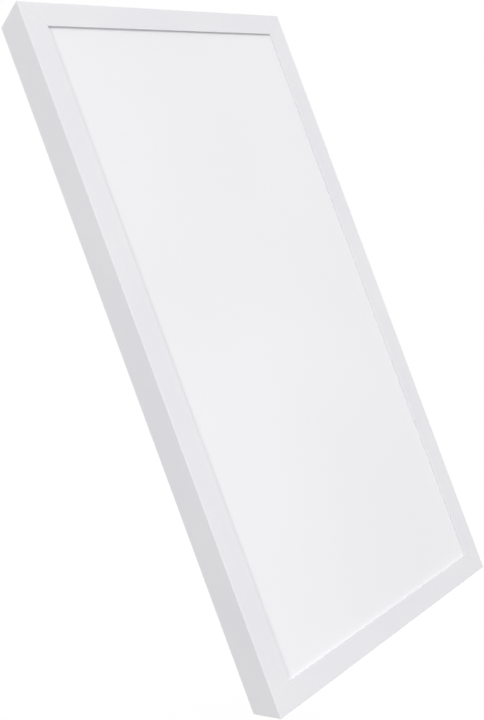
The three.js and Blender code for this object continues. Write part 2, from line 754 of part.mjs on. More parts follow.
const lidOuter = slab(DRIVER_X, DRIVER_Z, DRIVER_LENGTH, DRIVER_WIDTH, lidFront, lidBack);
const lidInner = slab(
  DRIVER_X,
  DRIVER_Z,
  DRIVER_LENGTH - 2 * DRIVER_WALL,
  DRIVER_WIDTH - 2 * DRIVER_WALL,
  lidFront - 1,
  lidBack - DRIVER_WALL,
);
const lidHole = (side, radius) =>
  new THREE.CylinderGeometry(radius, radius, 4 * DRIVER_WALL, 20)
    .rotateZ(RIGHT_ANGLE)
    .translate(DRIVER_X + side * driverEnd, y(leadExitDepth), DRIVER_Z);
add(
  "driver_lid",
  cut(lidOuter, lidInner, lidHole(-1, OUTPUT_LEAD_RADIUS + HOLE_GAP), lidHole(1, INPUT_LEAD_RADIUS + HOLE_GAP)),
  "casing",
);

// Pan-headed screws hold the driver's ears to the back plate.
const panHead = driverFloorBack + SEAT_GAP;
driverScrewX.forEach((x, i) => {
  const profile = [
    [0, plateFront],
    [DRIVER_SCREW_RADIUS, plateFront],
    [DRIVER_SCREW_RADIUS, panHead],
    [DRIVER_SCREW_HEAD_RADIUS, panHead],
    [DRIVER_SCREW_HEAD_RADIUS, panHead + DRIVER_SCREW_HEAD_HEIGHT / 2],
    [DRIVER_SCREW_HEAD_RADIUS * 0.6, panHead + DRIVER_SCREW_HEAD_HEIGHT],
    [0, panHead + DRIVER_SCREW_HEAD_HEIGHT],
  ];
  add("driver_screw_" + (i + 1), turned(x, DRIVER_Z, profile), "darkSteel");
});

// ---- Output lead: from the driver through two clips and the gland to the strips' jumper ----

add(
  "output_lead",
  lead(
    [
      [outputStart + LEAD_TUCK, leadExitDepth, DRIVER_Z],
      [outputStart - DRIVER_EAR / 2, leadExitDepth, DRIVER_Z],
      [outputStart - DRIVER_EAR, leadExitDepth - 0.5, DRIVER_Z],
      [clipX[0] + CLIP_LENGTH, outputLeadDepth, DRIVER_Z],
      [clipX[0], outputLeadDepth, DRIVER_Z],
      [clipX[1], outputLeadDepth, DRIVER_Z],
      [clipX[1] - CLIP_LENGTH, outputLeadDepth + 1, DRIVER_Z],
      [glandX + 22, outputLeadDepth + LEAD_ARCH - 1, DRIVER_Z],
      [glandX + 7, outputLeadDepth + LEAD_ARCH, DRIVER_Z],
      [glandX, outputLeadDepth, DRIVER_Z],
      [glandX, jumperBack + SEAT_GAP, DRIVER_Z],
    ],
    OUTPUT_LEAD_RADIUS,
    36,
  ),
  "whiteSheath",
);

function clipGeometry(x) {
  const bore = OUTPUT_LEAD_RADIUS + HOLE_GAP;
  const ring = new THREE.CylinderGeometry(bore + CLIP_WALL, bore + CLIP_WALL, CLIP_LENGTH, 16);
  const hole = new THREE.CylinderGeometry(bore, bore, 2 * CLIP_LENGTH, 16);
  for (const round of [ring, hole]) round.rotateZ(RIGHT_ANGLE).translate(x, y(outputLeadDepth), DRIVER_Z);
  const foot = slab(x, DRIVER_Z, CLIP_LENGTH, CLIP_FOOT, onPlate, onPlate + CLIP_BASE);
  const below = slab(x, DRIVER_Z, 2 * CLIP_LENGTH, CLIP_FOOT, onPlate - 2 * CLIP_WALL, onPlate);
  return cut(join(ring, foot), hole, below);
}
clipX.forEach((x, i) => add("lead_clip_" + (i + 1), clipGeometry(x), "greyPlastic"));

// ---- Terminal block: a well, a wire entry and a lever for each pole ----

const poleX = Array.from({ length: POLES }, (_, i) => terminalX + (i - (POLES - 1) / 2) * polePitch);
const terminalBottom = terminalZ - TERMINAL_HEIGHT / 2;
const wellTop = pivotZ + LEVER_THICKNESS / 2 + LEVER_GAP;
const pivotHoleLength = (POLES - 1) * polePitch + 2 * (pivotReach + HOLE_GAP);
const entryDepth = onPlate + WIRE_ENTRY_HEIGHT;

const alongX = (x, z, depth, radius, length, sides = 12) =>
  new THREE.CylinderGeometry(radius, radius, length, sides).rotateZ(RIGHT_ANGLE).translate(x, y(depth), z);
const upright = (x, depth, radius, low, high, sides = 10) =>
  new THREE.CylinderGeometry(radius, radius, high - low, sides)
    .rotateX(RIGHT_ANGLE)
    .translate(x, y(depth), (low + high) / 2);

add(
  "terminal_block",
  cut(
    slab(terminalX, terminalZ, terminalWidth, TERMINAL_HEIGHT, onPlate, terminalBack),
    ...poleX.map((x) =>
      block(
        [x - wellWidth / 2, x + wellWidth / 2],
        [terminalBack - leverWell, terminalBack + 1],
        [terminalBottom - 1, wellTop],
      ),
    ),
    alongX(terminalX, pivotZ, pivotDepth, PIVOT_RADIUS + HOLE_GAP, pivotHoleLength),
    ...poleX.map((x) =>
      upright(x, entryDepth, WIRE_ENTRY_RADIUS, terminalBottom - 1, terminalBottom + WIRE_ENTRY_DEPTH),
    ),
    ...poleX.map((x) =>
      upright(x, entryDepth, CORE_RADIUS + HOLE_GAP, terminalTop - WIRE_ENTRY_DEPTH / 2, terminalTop + 1),
    ),
  ),
  "greyPlastic",
);

poleX.forEach((x, i) => {
  const half = LEVER_THICKNESS / 2;
  const side = new THREE.Shape();
  side.moveTo(0, half);
  side.absarc(0, 0, half, RIGHT_ANGLE, 3 * RIGHT_ANGLE, false);
  side.lineTo(LEVER_LENGTH, -half);
  side.lineTo(LEVER_LENGTH, half * 0.4);
  side.lineTo(LEVER_LENGTH - 3, half);
  side.closePath();
  const arm = prism(side, LEVER_WIDTH).translate(0, 0, -LEVER_WIDTH / 2);
  arm.rotateZ(-RIGHT_ANGLE).rotateY(RIGHT_ANGLE).rotateX(RIGHT_ANGLE);
  arm.translate(x, y(pivotDepth), pivotZ);
  const pivot = alongX(x, pivotZ, pivotDepth, PIVOT_RADIUS, 2 * pivotReach);
  add("terminal_lever_" + (i + 1), join(arm, pivot), "orangePlastic");
});

// ---- Input lead: sheathed from the driver, then a core to each pole ----

const sheathEnd = terminalTop + 16;
const cores = poleX.map((x) =>
  lead(
    [
      [terminalX, leadExitDepth - 1, sheathEnd + 6],
      [terminalX + (x - terminalX) * 0.25, leadExitDepth - 1, sheathEnd],
      [x, (leadExitDepth + entryDepth) / 2, terminalTop + 6],
      [x, entryDepth, terminalTop],
      [x, entryDepth, terminalTop - WIRE_ENTRY_DEPTH / 2 + SEAT_GAP],
    ],
    CORE_RADIUS,
    8,
    6,
  ),
);
add(
  "input_lead",
  join(
    lead(
      [
        [inputStart - LEAD_TUCK, leadExitDepth, DRIVER_Z],
        [inputStart + 4, leadExitDepth, DRIVER_Z],
        [terminalX - 22, leadExitDepth - 1, DRIVER_Z - 3],
        [terminalX - 5, leadExitDepth - 1, DRIVER_Z - 14],
        [terminalX, leadExitDepth - 1, sheathEnd + 8],
        [terminalX, leadExitDepth - 1, sheathEnd],
      ],
      INPUT_LEAD_RADIUS,
      20,
    ),
    ...cores,
  ),
  "whiteSheath",
);

export default part;
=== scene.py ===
import math

import bmesh
import bpy
from mathutils import Matrix, Vector

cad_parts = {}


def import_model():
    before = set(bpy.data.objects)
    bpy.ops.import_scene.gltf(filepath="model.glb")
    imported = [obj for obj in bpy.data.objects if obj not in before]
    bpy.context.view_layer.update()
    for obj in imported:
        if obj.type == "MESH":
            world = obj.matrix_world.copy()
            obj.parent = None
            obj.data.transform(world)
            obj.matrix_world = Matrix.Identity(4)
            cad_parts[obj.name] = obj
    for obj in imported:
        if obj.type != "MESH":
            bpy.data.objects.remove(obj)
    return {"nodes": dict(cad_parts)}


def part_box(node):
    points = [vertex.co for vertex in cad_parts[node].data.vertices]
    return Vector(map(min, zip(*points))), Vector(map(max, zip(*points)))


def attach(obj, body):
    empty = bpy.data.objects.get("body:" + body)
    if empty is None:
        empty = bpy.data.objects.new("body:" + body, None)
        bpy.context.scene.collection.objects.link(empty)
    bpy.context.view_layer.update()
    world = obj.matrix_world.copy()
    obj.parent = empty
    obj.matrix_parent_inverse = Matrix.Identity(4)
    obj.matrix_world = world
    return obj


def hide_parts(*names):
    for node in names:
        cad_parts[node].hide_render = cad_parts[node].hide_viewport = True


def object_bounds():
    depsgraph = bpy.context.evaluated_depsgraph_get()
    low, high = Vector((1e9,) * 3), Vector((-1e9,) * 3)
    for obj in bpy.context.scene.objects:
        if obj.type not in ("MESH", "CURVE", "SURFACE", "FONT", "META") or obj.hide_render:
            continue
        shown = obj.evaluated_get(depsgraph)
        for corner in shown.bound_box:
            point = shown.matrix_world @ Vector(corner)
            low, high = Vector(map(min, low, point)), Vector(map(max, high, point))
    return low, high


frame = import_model()
cad_low, cad_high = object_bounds()

# Everything is in metres. The panel stands upright with its light facing -Y, and its back is at y = 0.
MM = 0.001
FRONT = cad_low.y
WIDTH = cad_high.x - cad_low.x
HEIGHT = cad_high.z - cad_low.z
DEPTH = cad_high.y - cad_low.y
QUARTER = math.radians(90)
WHITE = (1, 1, 1, 1)

# Places nearer than SAME count as one, and a cut or a join uses the finer TOUCHING
SAME = 1e-6
TOUCHING = 1e-7

# Faces that meet within FLAT_WITHIN become one, and an edge that turns more than SHADED_SHARP looks sharp
FLAT_WITHIN = math.radians(0.5)
SHADED_SHARP = math.radians(32)

# ---- Nodes that stand in groups ----

SCREWS = [n for n in frame["nodes"] if "_screw_" in n]
CORNER_KEYS = [n for n in frame["nodes"] if n.startswith("corner_key")]
TOP_NODES = ("rail_top", "corner_key_top", "key_screw_a_top", "key_screw_b_top")
POLES = ["terminal_lever_1", "terminal_lever_2", "terminal_lever_3"]

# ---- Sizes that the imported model's boxes don't give ----

# Clearances
LAYER_GAP = 0.1 * MM
HOLE_GAP = 0.3 * MM
LEVER_GAP = 0.4 * MM
MODULE_BACK_GAP = 0.5 * MM

# The frame's aluminium section
RAIL_WALL = 1.6 * MM
LIP_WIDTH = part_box("rail_bottom")[1].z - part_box("rail_bottom")[0].z
LIP_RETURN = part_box("diffuser")[0].y - FRONT - LAYER_GAP
RETURN_WALL = 1.4 * MM
OUTER_EDGE = 1.2 * MM
FLANGE_WIDTH = 14.4 * MM
RIB_WIDTH = 11.4 * MM
LEDGE_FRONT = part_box("back_plate")[1].y - FRONT + MODULE_BACK_GAP
RIB_BACK = 62.0 * MM
EXTRUSION_EDGE = 0.25 * MM
MITRE_GAP = 0.06 * MM
ACCESS_HOLE = 2.6 * MM

# The module's bezel section
BEZEL_WALL = 1.4 * MM
BEZEL_LIP = 1.0 * MM
BEZEL_LEG = 10.0 * MM
BEZEL_LIP_WIDTH = 12.0 * MM
BEZEL_EDGE = 0.12 * MM

# The diffuser: its sheet, and how far its face lies in from its rim's edge
DIFFUSER_SHEET = 1.5 * MM
FACE_INSET = 10.1 * MM

# Screws
KEY_SCREW = 2.0 * MM
BAR_SCREW_HEAD = 3.6 * MM
BAR_SCREW_SHANK = 2.0 * MM
PLATE_SCREW_HEAD = 2.8 * MM
PLATE_SCREW_SHANK = 1.5 * MM
PAN_HEAD_HEIGHT = 2.0 * MM
PAN_RECESS_DEPTH = 0.9 * MM
SOCKET_DEPTH = 1.8 * MM
SCREW_CHAMFER = 0.4 * MM

# Corner keys and the hollows cast in them
KEY_WIDTH = 13.0 * MM
HOLLOW_INSET = 3.5 * MM
HOLLOW_DEPTH = 1.2 * MM

# Mounting bars
BAR_SHEET = 1.5 * MM
BAR_JOGGLE = 6.0 * MM
BAR_SIDE_GAP = 1.0 * MM
BAR_TONGUE_GAP = 0.2 * MM
KEYHOLE_OFFSET = 150.0 * MM
KEYHOLE_HEAD = 5.0 * MM
KEYHOLE_SHANK = 2.75 * MM
KEYHOLE_RISE = 13.0 * MM
DIMPLE_SIDE = 46.0 * MM
DIMPLE_HEIGHT = 5.0 * MM
DIMPLE_SLOPE = 1.2 * MM

# Rubber rings: the grommet in the middle bar, and the gland in the back plate
GROMMET_BORE = 6.0 * MM
GROMMET_NECK = 9.0 * MM
GROMMET_FLANGE = 2.0 * MM
GLAND_WALL = 2.0 * MM
GLAND_FLANGE = 1.0 * MM

# Pressed ribs in the back plate: where they run, how long the upright ones are, and their section
RIB_X = 245.0 * MM
RIB_HEIGHTS = (0.3, -0.1, -0.3)
RIB_LENGTH = 0.88 * HEIGHT
PRESSED_WIDTH = 12.0 * MM
PRESSED_RISE = 0.9 * MM
PRESSED_SLOPE = 2.5 * MM

# Driver
BASE_FLOOR = 2.0 * MM
LID_WALL = 1.8 * MM
LEAD_EXIT = 7.0 * MM

# Leads and their clips
OUTPUT_RADIUS = 2.5 * MM
INPUT_RADIUS = 3.5 * MM
CORE_RADIUS = 1.1 * MM
CLIP_WALL = 1.4 * MM
CLIP_BASE = 1.2 * MM

# Terminal block and its levers
WIRE_ENTRY = 5.0 * MM
LEVER_WIDTH = 6.6 * MM
LEVER_THICKNESS = 3.4 * MM
LEVER_LENGTH = 21.0 * MM
PIVOT_RADIUS = 0.9 * MM
PIVOT_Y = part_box(POLES[0])[1].y - LEVER_THICKNESS / 2
PIVOT_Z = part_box(POLES[0])[0].z + LEVER_LENGTH


# ---- Mesh making ----


def middle(node):
    """The middle of a node's box."""
    low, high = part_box(node)
    return (low + high) / 2


def placed(name, data):
    """A new object in the scene, at the origin."""
    made = bpy.data.objects.new(name, data)
    bpy.context.scene.collection.objects.link(made)
    return made


def ordered(bm):
    """The same shape, with its corners and faces in an order that doesn't change from run to run."""
    corners = sorted(bm.verts, key=lambda v: tuple(v.co))
    number = {v: i for i, v in enumerate(corners)}
    loops = []
    for face in bm.faces:
        loop = [number[v] for v in face.verts]
        first = loop.index(min(loop))
        loops.append(loop[first:] + loop[:first])
    made = bmesh.new()
    verts = [made.verts.new(v.co) for v in corners]
    for loop in sorted(loops):
        made.faces.new([verts[i] for i in loop])
    made.normal_update()
    bm.free()
    return made


def mesh_of(bm, name):
    """The mesh of a shape, which is used up."""
    bm = ordered(bm)
    mesh = bpy.data.meshes.new(name)
    bm.to_mesh(mesh)
    bm.free()
    return mesh


def as_shown(made):
    """The shape of an object once its modifiers, or its curve's thickness, are applied."""
    bpy.context.view_layer.update()
    mesh = bpy.data.meshes.new_from_object(made.evaluated_get(bpy.context.evaluated_depsgraph_get()))
    bm = bmesh.new()
    bm.from_mesh(mesh)
    bpy.data.meshes.remove(mesh)
    return bm


def extruded(corners, along):
    """A flat outline of a few corners, drawn out along a vector."""
    bm = bmesh.new()
    face = bm.faces.new([bm.verts.new(c) for c in corners])
    made = bmesh.ops.extrude_face_region(bm, geom=[face])["geom"]
    moved = [v for v in made if isinstance(v, bmesh.types.BMVert)]
    bmesh.ops.translate(bm, vec=along, verts=moved)
    bmesh.ops.recalc_face_normals(bm, faces=bm.faces)
    return ordered(bm)


def block(low, high):
    """A block between two corners."""
    bm = bmesh.new()
    bmesh.ops.create_cube(bm, size=1)
    size = Vector(high) - Vector(low)
    bmesh.ops.scale(bm, vec=size, verts=bm.verts)
    bmesh.ops.translate(bm, vec=(Vector(high) + Vector(low)) / 2, verts=bm.verts)
    return bm


def post(centre, radius, length, axis="Y", sides=40, end_radius=None):
    """A round bar centred on a point, along an axis; end_radius is its radius at the far end."""
    bm = bmesh.new()
    far = radius if end_radius is None else end_radius
    bmesh.ops.create_cone(bm, cap_ends=True, segments=sides, radius1=radius, radius2=far, depth=length)
    turn = {
        "X": Matrix.Rotation(QUARTER, 3, "Y"),
        "Y": Matrix.Rotation(-QUARTER, 3, "X"),
        "Z": Matrix.Identity(3),
    }
    bmesh.ops.rotate(bm, cent=(0, 0, 0), matrix=turn[axis], verts=bm.verts)
    bmesh.ops.translate(bm, vec=centre, verts=bm.verts)
    return bm


def turned(profile, x, z, steps=48):
    """A shape spun about a line along Y. Its profile is a list of (radius, y) that starts and ends on the
    line, or closes on itself."""
    bm = bmesh.new()
    ring = [bm.verts.new((x + radius, y, z)) for radius, y in profile]
    for a, b in zip(ring, ring[1:]):
        bm.edges.new((a, b))
    bmesh.ops.spin(
        bm,
        geom=bm.verts[:] + bm.edges[:],
        cent=(x, 0, z),
        axis=(0, 1, 0),
        angle=4 * QUARTER,
        steps=steps,
        use_merge=True,
    )
    bmesh.ops.remove_doubles(bm, verts=bm.verts, dist=SAME)
    bmesh.ops.recalc_face_normals(bm, faces=bm.faces)
    return ordered(bm)


def soften(bm, width, segments=2, sharper_than=30, only=None):
    """Rounds the edges that turn sharper than an angle, or those of them that only() accepts."""
    limit = math.radians(sharper_than)
    sharp = [
        e
        for e in bm.edges
        if len(e.link_faces) == 2 and e.calc_face_angle(0) > limit and (only is None or only(e))
    ]
    bmesh.ops.bevel(
        bm,
        geom=sharp,
        offset=width,
        segments=segments,
        profile=0.5,
        affect="EDGES",
        material=-1,
        clamp_overlap=True,
    )
    return bm


def runs_back(edge, further_than):
    """Whether an edge runs back along Y for more than a length."""
    return abs(edge.verts[0].co.y - edge.verts[1].co.y) > further_than


def merged(parts):
    """Several shapes as one, which stay separate shells."""
    whole = bmesh.new()
    for part in parts:
        mesh = mesh_of(part, "part")
        whole.from_mesh(mesh)
        bpy.data.meshes.remove(mesh)
    return whole


def carved(bm, tools, operation="DIFFERENCE"):
    """A shape with the tools cut from it, or joined to it."""
    body = placed("carved", mesh_of(bm, "carved"))
    tool = placed("tool", mesh_of(merged(tools), "tool"))
    change = body.modifiers.new("carve", "BOOLEAN")
    change.operation = operation
    change.solver = "EXACT"
    change.use_self = operation == "UNION"
    change.object = tool
    made = as_shown(body)
    bmesh.ops.remove_doubles(made, verts=made.verts, dist=TOUCHING)
    bmesh.ops.dissolve_limit(made, angle_limit=FLAT_WITHIN, verts=made.verts, edges=made.edges)
    for part in (body, tool):
        mesh = part.data
        bpy.data.objects.remove(part)
        bpy.data.meshes.remove(mesh)
    return made


# ---- Finishes ----


def srgb(red, green, blue):
    """A colour given as it looks on a screen, from 0 to 255, in the linear values that a shader takes."""
    channels = []
    for value in (red, green, blue):
        share = value / 255
        channels.append(share / 12.92 if share <= 0.04045 else ((share + 0.055) / 1.055) ** 2.4)
    return (*channels, 1.0)


# Where noise starts to change a colour or a roughness, and where it has changed it fully
PATTERN_START = 0.35
PATTERN_END = 0.65


def with_inputs(node, **values):
    """A shader node with some of its inputs set. Their names have _ for a space."""
    for name, value in values.items():
        node.inputs[name.replace("_", " ")].default_value = value
    return node


def new_node(tree, kind, **values):
    return with_inputs(tree.nodes.new("ShaderNode" + kind), **values)


class Finish:
    """A material on a Principled shader, with its patterns on Object coordinates."""

    def __init__(self, name, roughness=0.5, metallic=0.0, **sockets):
        self.material = bpy.data.materials.new(name)
        self.material.use_nodes = True
        self.tree = self.material.node_tree
        self.shader = self.tree.nodes["Principled BSDF"]
        with_inputs(self.shader, Roughness=roughness, Metallic=metallic, **sockets)
        self.place = self.new("TexCoord").outputs["Object"]
        self.last_bump = None

    def new(self, kind, **values):
        return new_node(self.tree, kind, **values)

    def link(self, source, target):
        self.tree.links.new(source, target)

    def stretched(self, scale):
        """The coordinates with each axis scaled, so that a pattern runs along one."""
        node = self.new("Mapping", Scale=scale)
        self.link(self.place, node.inputs["Vector"])
        return node.outputs["Vector"]

    def noise(self, scale, detail=2.0, roughness=0.5, along=None):
        node = self.new("TexNoise", Scale=scale, Detail=detail, Roughness=roughness)
        self.link(self.stretched(along) if along else self.place, node.inputs["Vector"])
        return node.outputs["Fac"]

    def cells(self, scale, output="Distance", along=None):
        node = self.new("TexVoronoi", Scale=scale)
        self.link(self.stretched(along) if along else self.place, node.inputs["Vector"])
        return node.outputs[output]

    def colour(self, pattern, first, second, start=PATTERN_START, end=PATTERN_END):
        """The base colour follows a pattern from one colour to another."""
        ramp = self.new("ValToRGB")
        stops = ramp.color_ramp.elements
        for stop, place, tone in ((stops[0], start, first), (stops[1], end, second)):
            stop.position = place
            stop.color = tone
        self.link(pattern, ramp.inputs["Fac"])
        self.link(ramp.outputs["Color"], self.shader.inputs["Base Color"])

    def rough(self, pattern, low, high):
        """The roughness follows a pattern from low to high."""
        node = self.new("MapRange", From_Min=PATTERN_START, From_Max=PATTERN_END, To_Min=low, To_Max=high)
        self.link(pattern, node.inputs["Value"])
        self.link(node.outputs["Result"], self.shader.inputs["Roughness"])

    def bump(self, height, strength, distance):
        """Adds relief to what there is. Distance is how deep the pattern is, in metres."""
        node = self.new("Bump", Strength=strength, Distance=distance)
        self.link(height, node.inputs["Height"])
        if self.last_bump:
            self.link(self.last_bump, node.inputs["Normal"])
        self.last_bump = node.outputs["Normal"]
        self.link(self.last_bump, self.shader.inputs["Normal"])


def powder_coat():
    f = Finish("white_powder_coat", Specular_IOR_Level=0.45)
    f.colour(f.noise(5, 3), srgb(231, 231, 235), srgb(234, 233, 236))
    f.rough(f.noise(60, 3), 0.40, 0.50)
    f.bump(f.noise(420, 2), 0.12, 0.00012)
    f.bump(f.noise(2600, 1), 0.10, 0.00004)
    return f.material


def opal():
    f = Finish("opal_sheet", Specular_IOR_Level=0.4)
    f.colour(f.noise(2.2, 1), srgb(239, 238, 240), srgb(242, 241, 243))
    f.rough(f.noise(35, 2), 0.36, 0.44)
    f.bump(f.noise(1800, 2), 0.10, 0.00004)
    return f.material


def zinc():
    f = Finish("zinc_plated_steel", metallic=1.0)
    f.colour(f.cells(230, output="Color"), srgb(199, 203, 206), srgb(209, 212, 214), 0.2, 0.8)
    f.rough(f.noise(30, 4, 0.6, along=(0.25, 1, 9)), 0.32, 0.44)
    f.bump(f.noise(260, 3, 0.6, along=(0.12, 1, 3)), 0.16, 0.00006)
    return f.material


def bezel_aluminium():
    f = Finish("anodised_aluminium", metallic=1.0)
    f.colour(f.noise(12, 2), srgb(214, 216, 218), srgb(224, 225, 227))
    f.rough(f.noise(900, 2, along=(0.05, 1, 0.05)), 0.34, 0.44)
    f.bump(f.noise(1400, 2, along=(0.03, 1, 0.03)), 0.10, 0.00004)
    return f.material


def cast_alloy():
    f = Finish("cast_alloy", metallic=1.0)
    f.colour(f.noise(160, 4), srgb(176, 179, 182), srgb(198, 200, 202))
    f.rough(f.noise(240, 3), 0.42, 0.58)
    f.bump(f.noise(900, 4), 0.30, 0.00012)
    return f.material


def dark_screw():
    f = Finish("blackened_screw", metallic=1.0)
    f.colour(f.noise(500, 3), srgb(74, 76, 80), srgb(104, 106, 110))
    f.rough(f.noise(900, 2), 0.28, 0.42)
    f.bump(f.noise(1600, 2), 0.12, 0.00003)
    return f.material


def plate_paint():
    f = Finish("back_plate_paint", Specular_IOR_Level=0.4)
    f.colour(f.noise(7, 3), srgb(222, 223, 225), srgb(229, 229, 231))
    f.rough(f.noise(90, 3), 0.44, 0.56)
    f.bump(f.noise(700, 3), 0.14, 0.00006)
    f.bump(f.noise(6, 2), 0.25, 0.0006)
    return f.material


def rubber():
    f = Finish("black_rubber", Specular_IOR_Level=0.3)
    f.colour(f.noise(300, 3), srgb(30, 31, 33), srgb(42, 43, 45))
    f.rough(f.noise(500, 2), 0.66, 0.82)
    f.bump(f.noise(1500, 3), 0.25, 0.00006)
    return f.material


def casing():
    f = Finish("driver_casing", Specular_IOR_Level=0.4)
    f.colour(f.noise(40, 3), srgb(226, 226, 223), srgb(232, 232, 229))
    f.rough(f.noise(300, 3), 0.42, 0.56)
    f.bump(f.cells(1700), 0.22, 0.00007)
    return f.material


def sheath():
    f = Finish("lead_sheath", Specular_IOR_Level=0.4)
    f.colour(f.noise(120, 3), srgb(224, 224, 220), srgb(232, 232, 229))
    f.rough(f.noise(500, 2), 0.40, 0.54)
    f.bump(f.noise(1500, 2), 0.15, 0.00005)
    return f.material


def grey_plastic():
    f = Finish("grey_moulding", Specular_IOR_Level=0.45)
    f.colour(f.noise(700, 2), srgb(199, 202, 204), srgb(205, 207, 209))
    f.rough(f.noise(600, 2), 0.36, 0.48)
    f.bump(f.noise(1800, 2), 0.14, 0.00004)
    return f.material


def lever_plastic():
    f = Finish("orange_moulding", Specular_IOR_Level=0.5)
    f.colour(f.noise(700, 2), srgb(228, 122, 38), srgb(233, 129, 43))
    f.rough(f.noise(700, 2), 0.30, 0.42)
    f.bump(f.noise(1800, 2), 0.12, 0.00004)
    return f.material


def clear_acrylic():
    """The guide has a printed grid of dots that grow paler towards the middle of each cell."""
    f = Finish("guide_acrylic", roughness=0.12, Specular_IOR_Level=0.5)
    f.colour(f.cells(280, along=(1, 0.02, 1)), srgb(250, 251, 251), srgb(216, 226, 226), 0.25, 0.45)
    f.bump(f.noise(20, 2), 0.05, 0.0002)
    return f.material


def white_film():
    f = Finish("reflector_film", Specular_IOR_Level=0.35)
    f.colour(f.noise(15, 3), srgb(243, 243, 243), srgb(248, 248, 248))
    f.rough(f.noise(200, 3), 0.50, 0.66)
    f.bump(f.noise(900, 3), 0.10, 0.00004)
    return f.material


def foam():
    f = Finish("closed_cell_foam", roughness=0.92, Specular_IOR_Level=0.2)
    f.colour(f.cells(900), srgb(112, 115, 118), srgb(138, 141, 144), 0.1, 0.7)
    f.bump(f.cells(900), 0.6, 0.0003)
    return f.material


def strip_board():
    f = Finish("strip_solder_mask", Specular_IOR_Level=0.5)
    f.colour(f.noise(60, 2), srgb(240, 240, 232), srgb(248, 247, 240))
    f.rough(f.noise(400, 3), 0.34, 0.50)
    f.bump(f.noise(700, 2, along=(1, 1, 0.1)), 0.10, 0.00004)
    return f.material


def circuit():
    """A solder mask with traces under it, drawn by the edges of long cells."""
    f = Finish("driver_circuit", roughness=0.34, Specular_IOR_Level=0.5)
    f.colour(f.cells(260, along=(0.35, 0.2, 1)), srgb(38, 96, 62), srgb(62, 128, 84), 0.3, 0.5)
    f.bump(f.cells(260, along=(0.35, 0.2, 1)), 0.2, 0.00006)
    return f.material


# The finish of each of the record's material slots
FINISHES = {
    "white_powder_coat": powder_coat(),
    "opal_sheet": opal(),
    "zinc_steel": zinc(),
    "bezel_aluminium": bezel_aluminium(),
    "cast_alloy": cast_alloy(),
    "dark_screw": dark_screw(),
    "white_plate": plate_paint(),
    "black_rubber": rubber(),
    "driver_casing": casing(),
    "white_sheath": sheath(),
    "grey_plastic": grey_plastic(),
    "orange_lever": lever_plastic(),
    "clear_acrylic": clear_acrylic(),
    "white_film": white_film(),
    "grey_foam": foam(),
    "strip_board": strip_board(),
    "driver_circuit": circuit(),
}


def piece(name, bm, body, slot, node):
    """A finished piece: its shape, the body it rides on, its finish and the node it stands for."""
    mesh = mesh_of(bm, name)
    made = placed(name, mesh)
    mesh.materials.append(FINISHES[slot])
    mesh.polygons.foreach_set("use_smooth", [True] * len(mesh.polygons))
    mesh.set_sharp_from_angle(angle=SHADED_SHARP)
    weighted = made.modifiers.new("even_normals", "WEIGHTED_NORMAL")
    weighted.keep_sharp = True
    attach(made, body)
    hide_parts(node)


# ---- Mitred rails ----

# Each side of a rectangle: how far its rail is turned from the bottom one, and whether it is upright.
SIDES = {
    "bottom": (0, False),
    "left": (QUARTER, True),
    "top": (2 * QUARTER, False),
    "right": (-QUARTER, True),
}


def mitred_rail(section, width, height, side, edge):
    """One side of a rectangle, with its ends cut at 45 degrees. Its section is a list of (inward, y)."""
    turn, upright = SIDES[side]
    length, out = (height, width / 2) if upright else (width, height / 2)
    bm = extruded([(-length / 2, y, inward - out) for inward, y in section], (length, 0, 0))
    soften(bm, edge, 2, 30, lambda e: abs(e.verts[0].co.x - e.verts[1].co.x) > length / 2)
    for end in (-1, 1):
        corner = Vector((end * (length / 2 - MITRE_GAP), 0, -out))
        made = bmesh.ops.bisect_plane(
            bm,
            geom=bm.verts[:] + bm.edges[:] + bm.faces[:],
            dist=TOUCHING,
            plane_co=corner,
            plane_no=(end, 0, 1),
            clear_outer=True,
        )
        cut = [e for e in made["geom_cut"] if isinstance(e, bmesh.types.BMEdge)]
        bmesh.ops.holes_fill(bm, edges=cut, sides=0)
    bmesh.ops.rotate(bm, cent=(0, 0, 0), matrix=Matrix.Rotation(turn, 3, "Y"), verts=bm.verts)
    bmesh.ops.recalc_face_normals(bm, faces=bm.faces)
    return bm


def frame_section():
    """The frame's extrusion: a wide lip with a return, a deep wall, then a ledge, a rib and a flange."""
    # Each point is how far in from the outside and how far back from the front of the lip
    points = [(0, DEPTH)]
    steps = 6
    for i in range(steps + 1):
        angle = QUARTER * (2 + i / steps)
        inward = OUTER_EDGE * (1 + math.cos(angle))
        points.append((inward, OUTER_EDGE * (1 + math.sin(angle))))
    points += [
        (LIP_WIDTH, 0),
        (LIP_WIDTH, LIP_RETURN),
        (LIP_WIDTH - RETURN_WALL, LIP_RETURN),
        (LIP_WIDTH - RETURN_WALL, RAIL_WALL),
        (RAIL_WALL, RAIL_WALL),
    ]
    for front, back, reach in (
        (LEDGE_FRONT, LEDGE_FRONT + RAIL_WALL, FLANGE_WIDTH),
        (RIB_BACK - RAIL_WALL, RIB_BACK, RIB_WIDTH),
    ):
        points += [
            (RAIL_WALL, front),
            (RAIL_WALL + reach, front),
            (RAIL_WALL + reach, back),
            (RAIL_WALL, back),
        ]
    points += [
        (RAIL_WALL, DEPTH - RAIL_WALL),
        (RAIL_WALL + FLANGE_WIDTH, DEPTH - RAIL_WALL),
        (RAIL_WALL + FLANGE_WIDTH, DEPTH),
    ]
    return [(inward, FRONT + back) for inward, back in points]


def body_of_frame(node):
    """The top rail and its keys come off together. The rest of the frame stays."""
    return "end_rail" if node.startswith(TOP_NODES) else "frame"


def screws_through(node, kind):
    """The screws of a kind that lie within a node's outline, as seen from behind."""
    low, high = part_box(node)
    spots = [(screw, middle(screw)) for screw in SCREWS if screw.startswith(kind)]
    return [screw for screw, spot in spots if low.x < spot.x < high.x and low.z < spot.z < high.z]


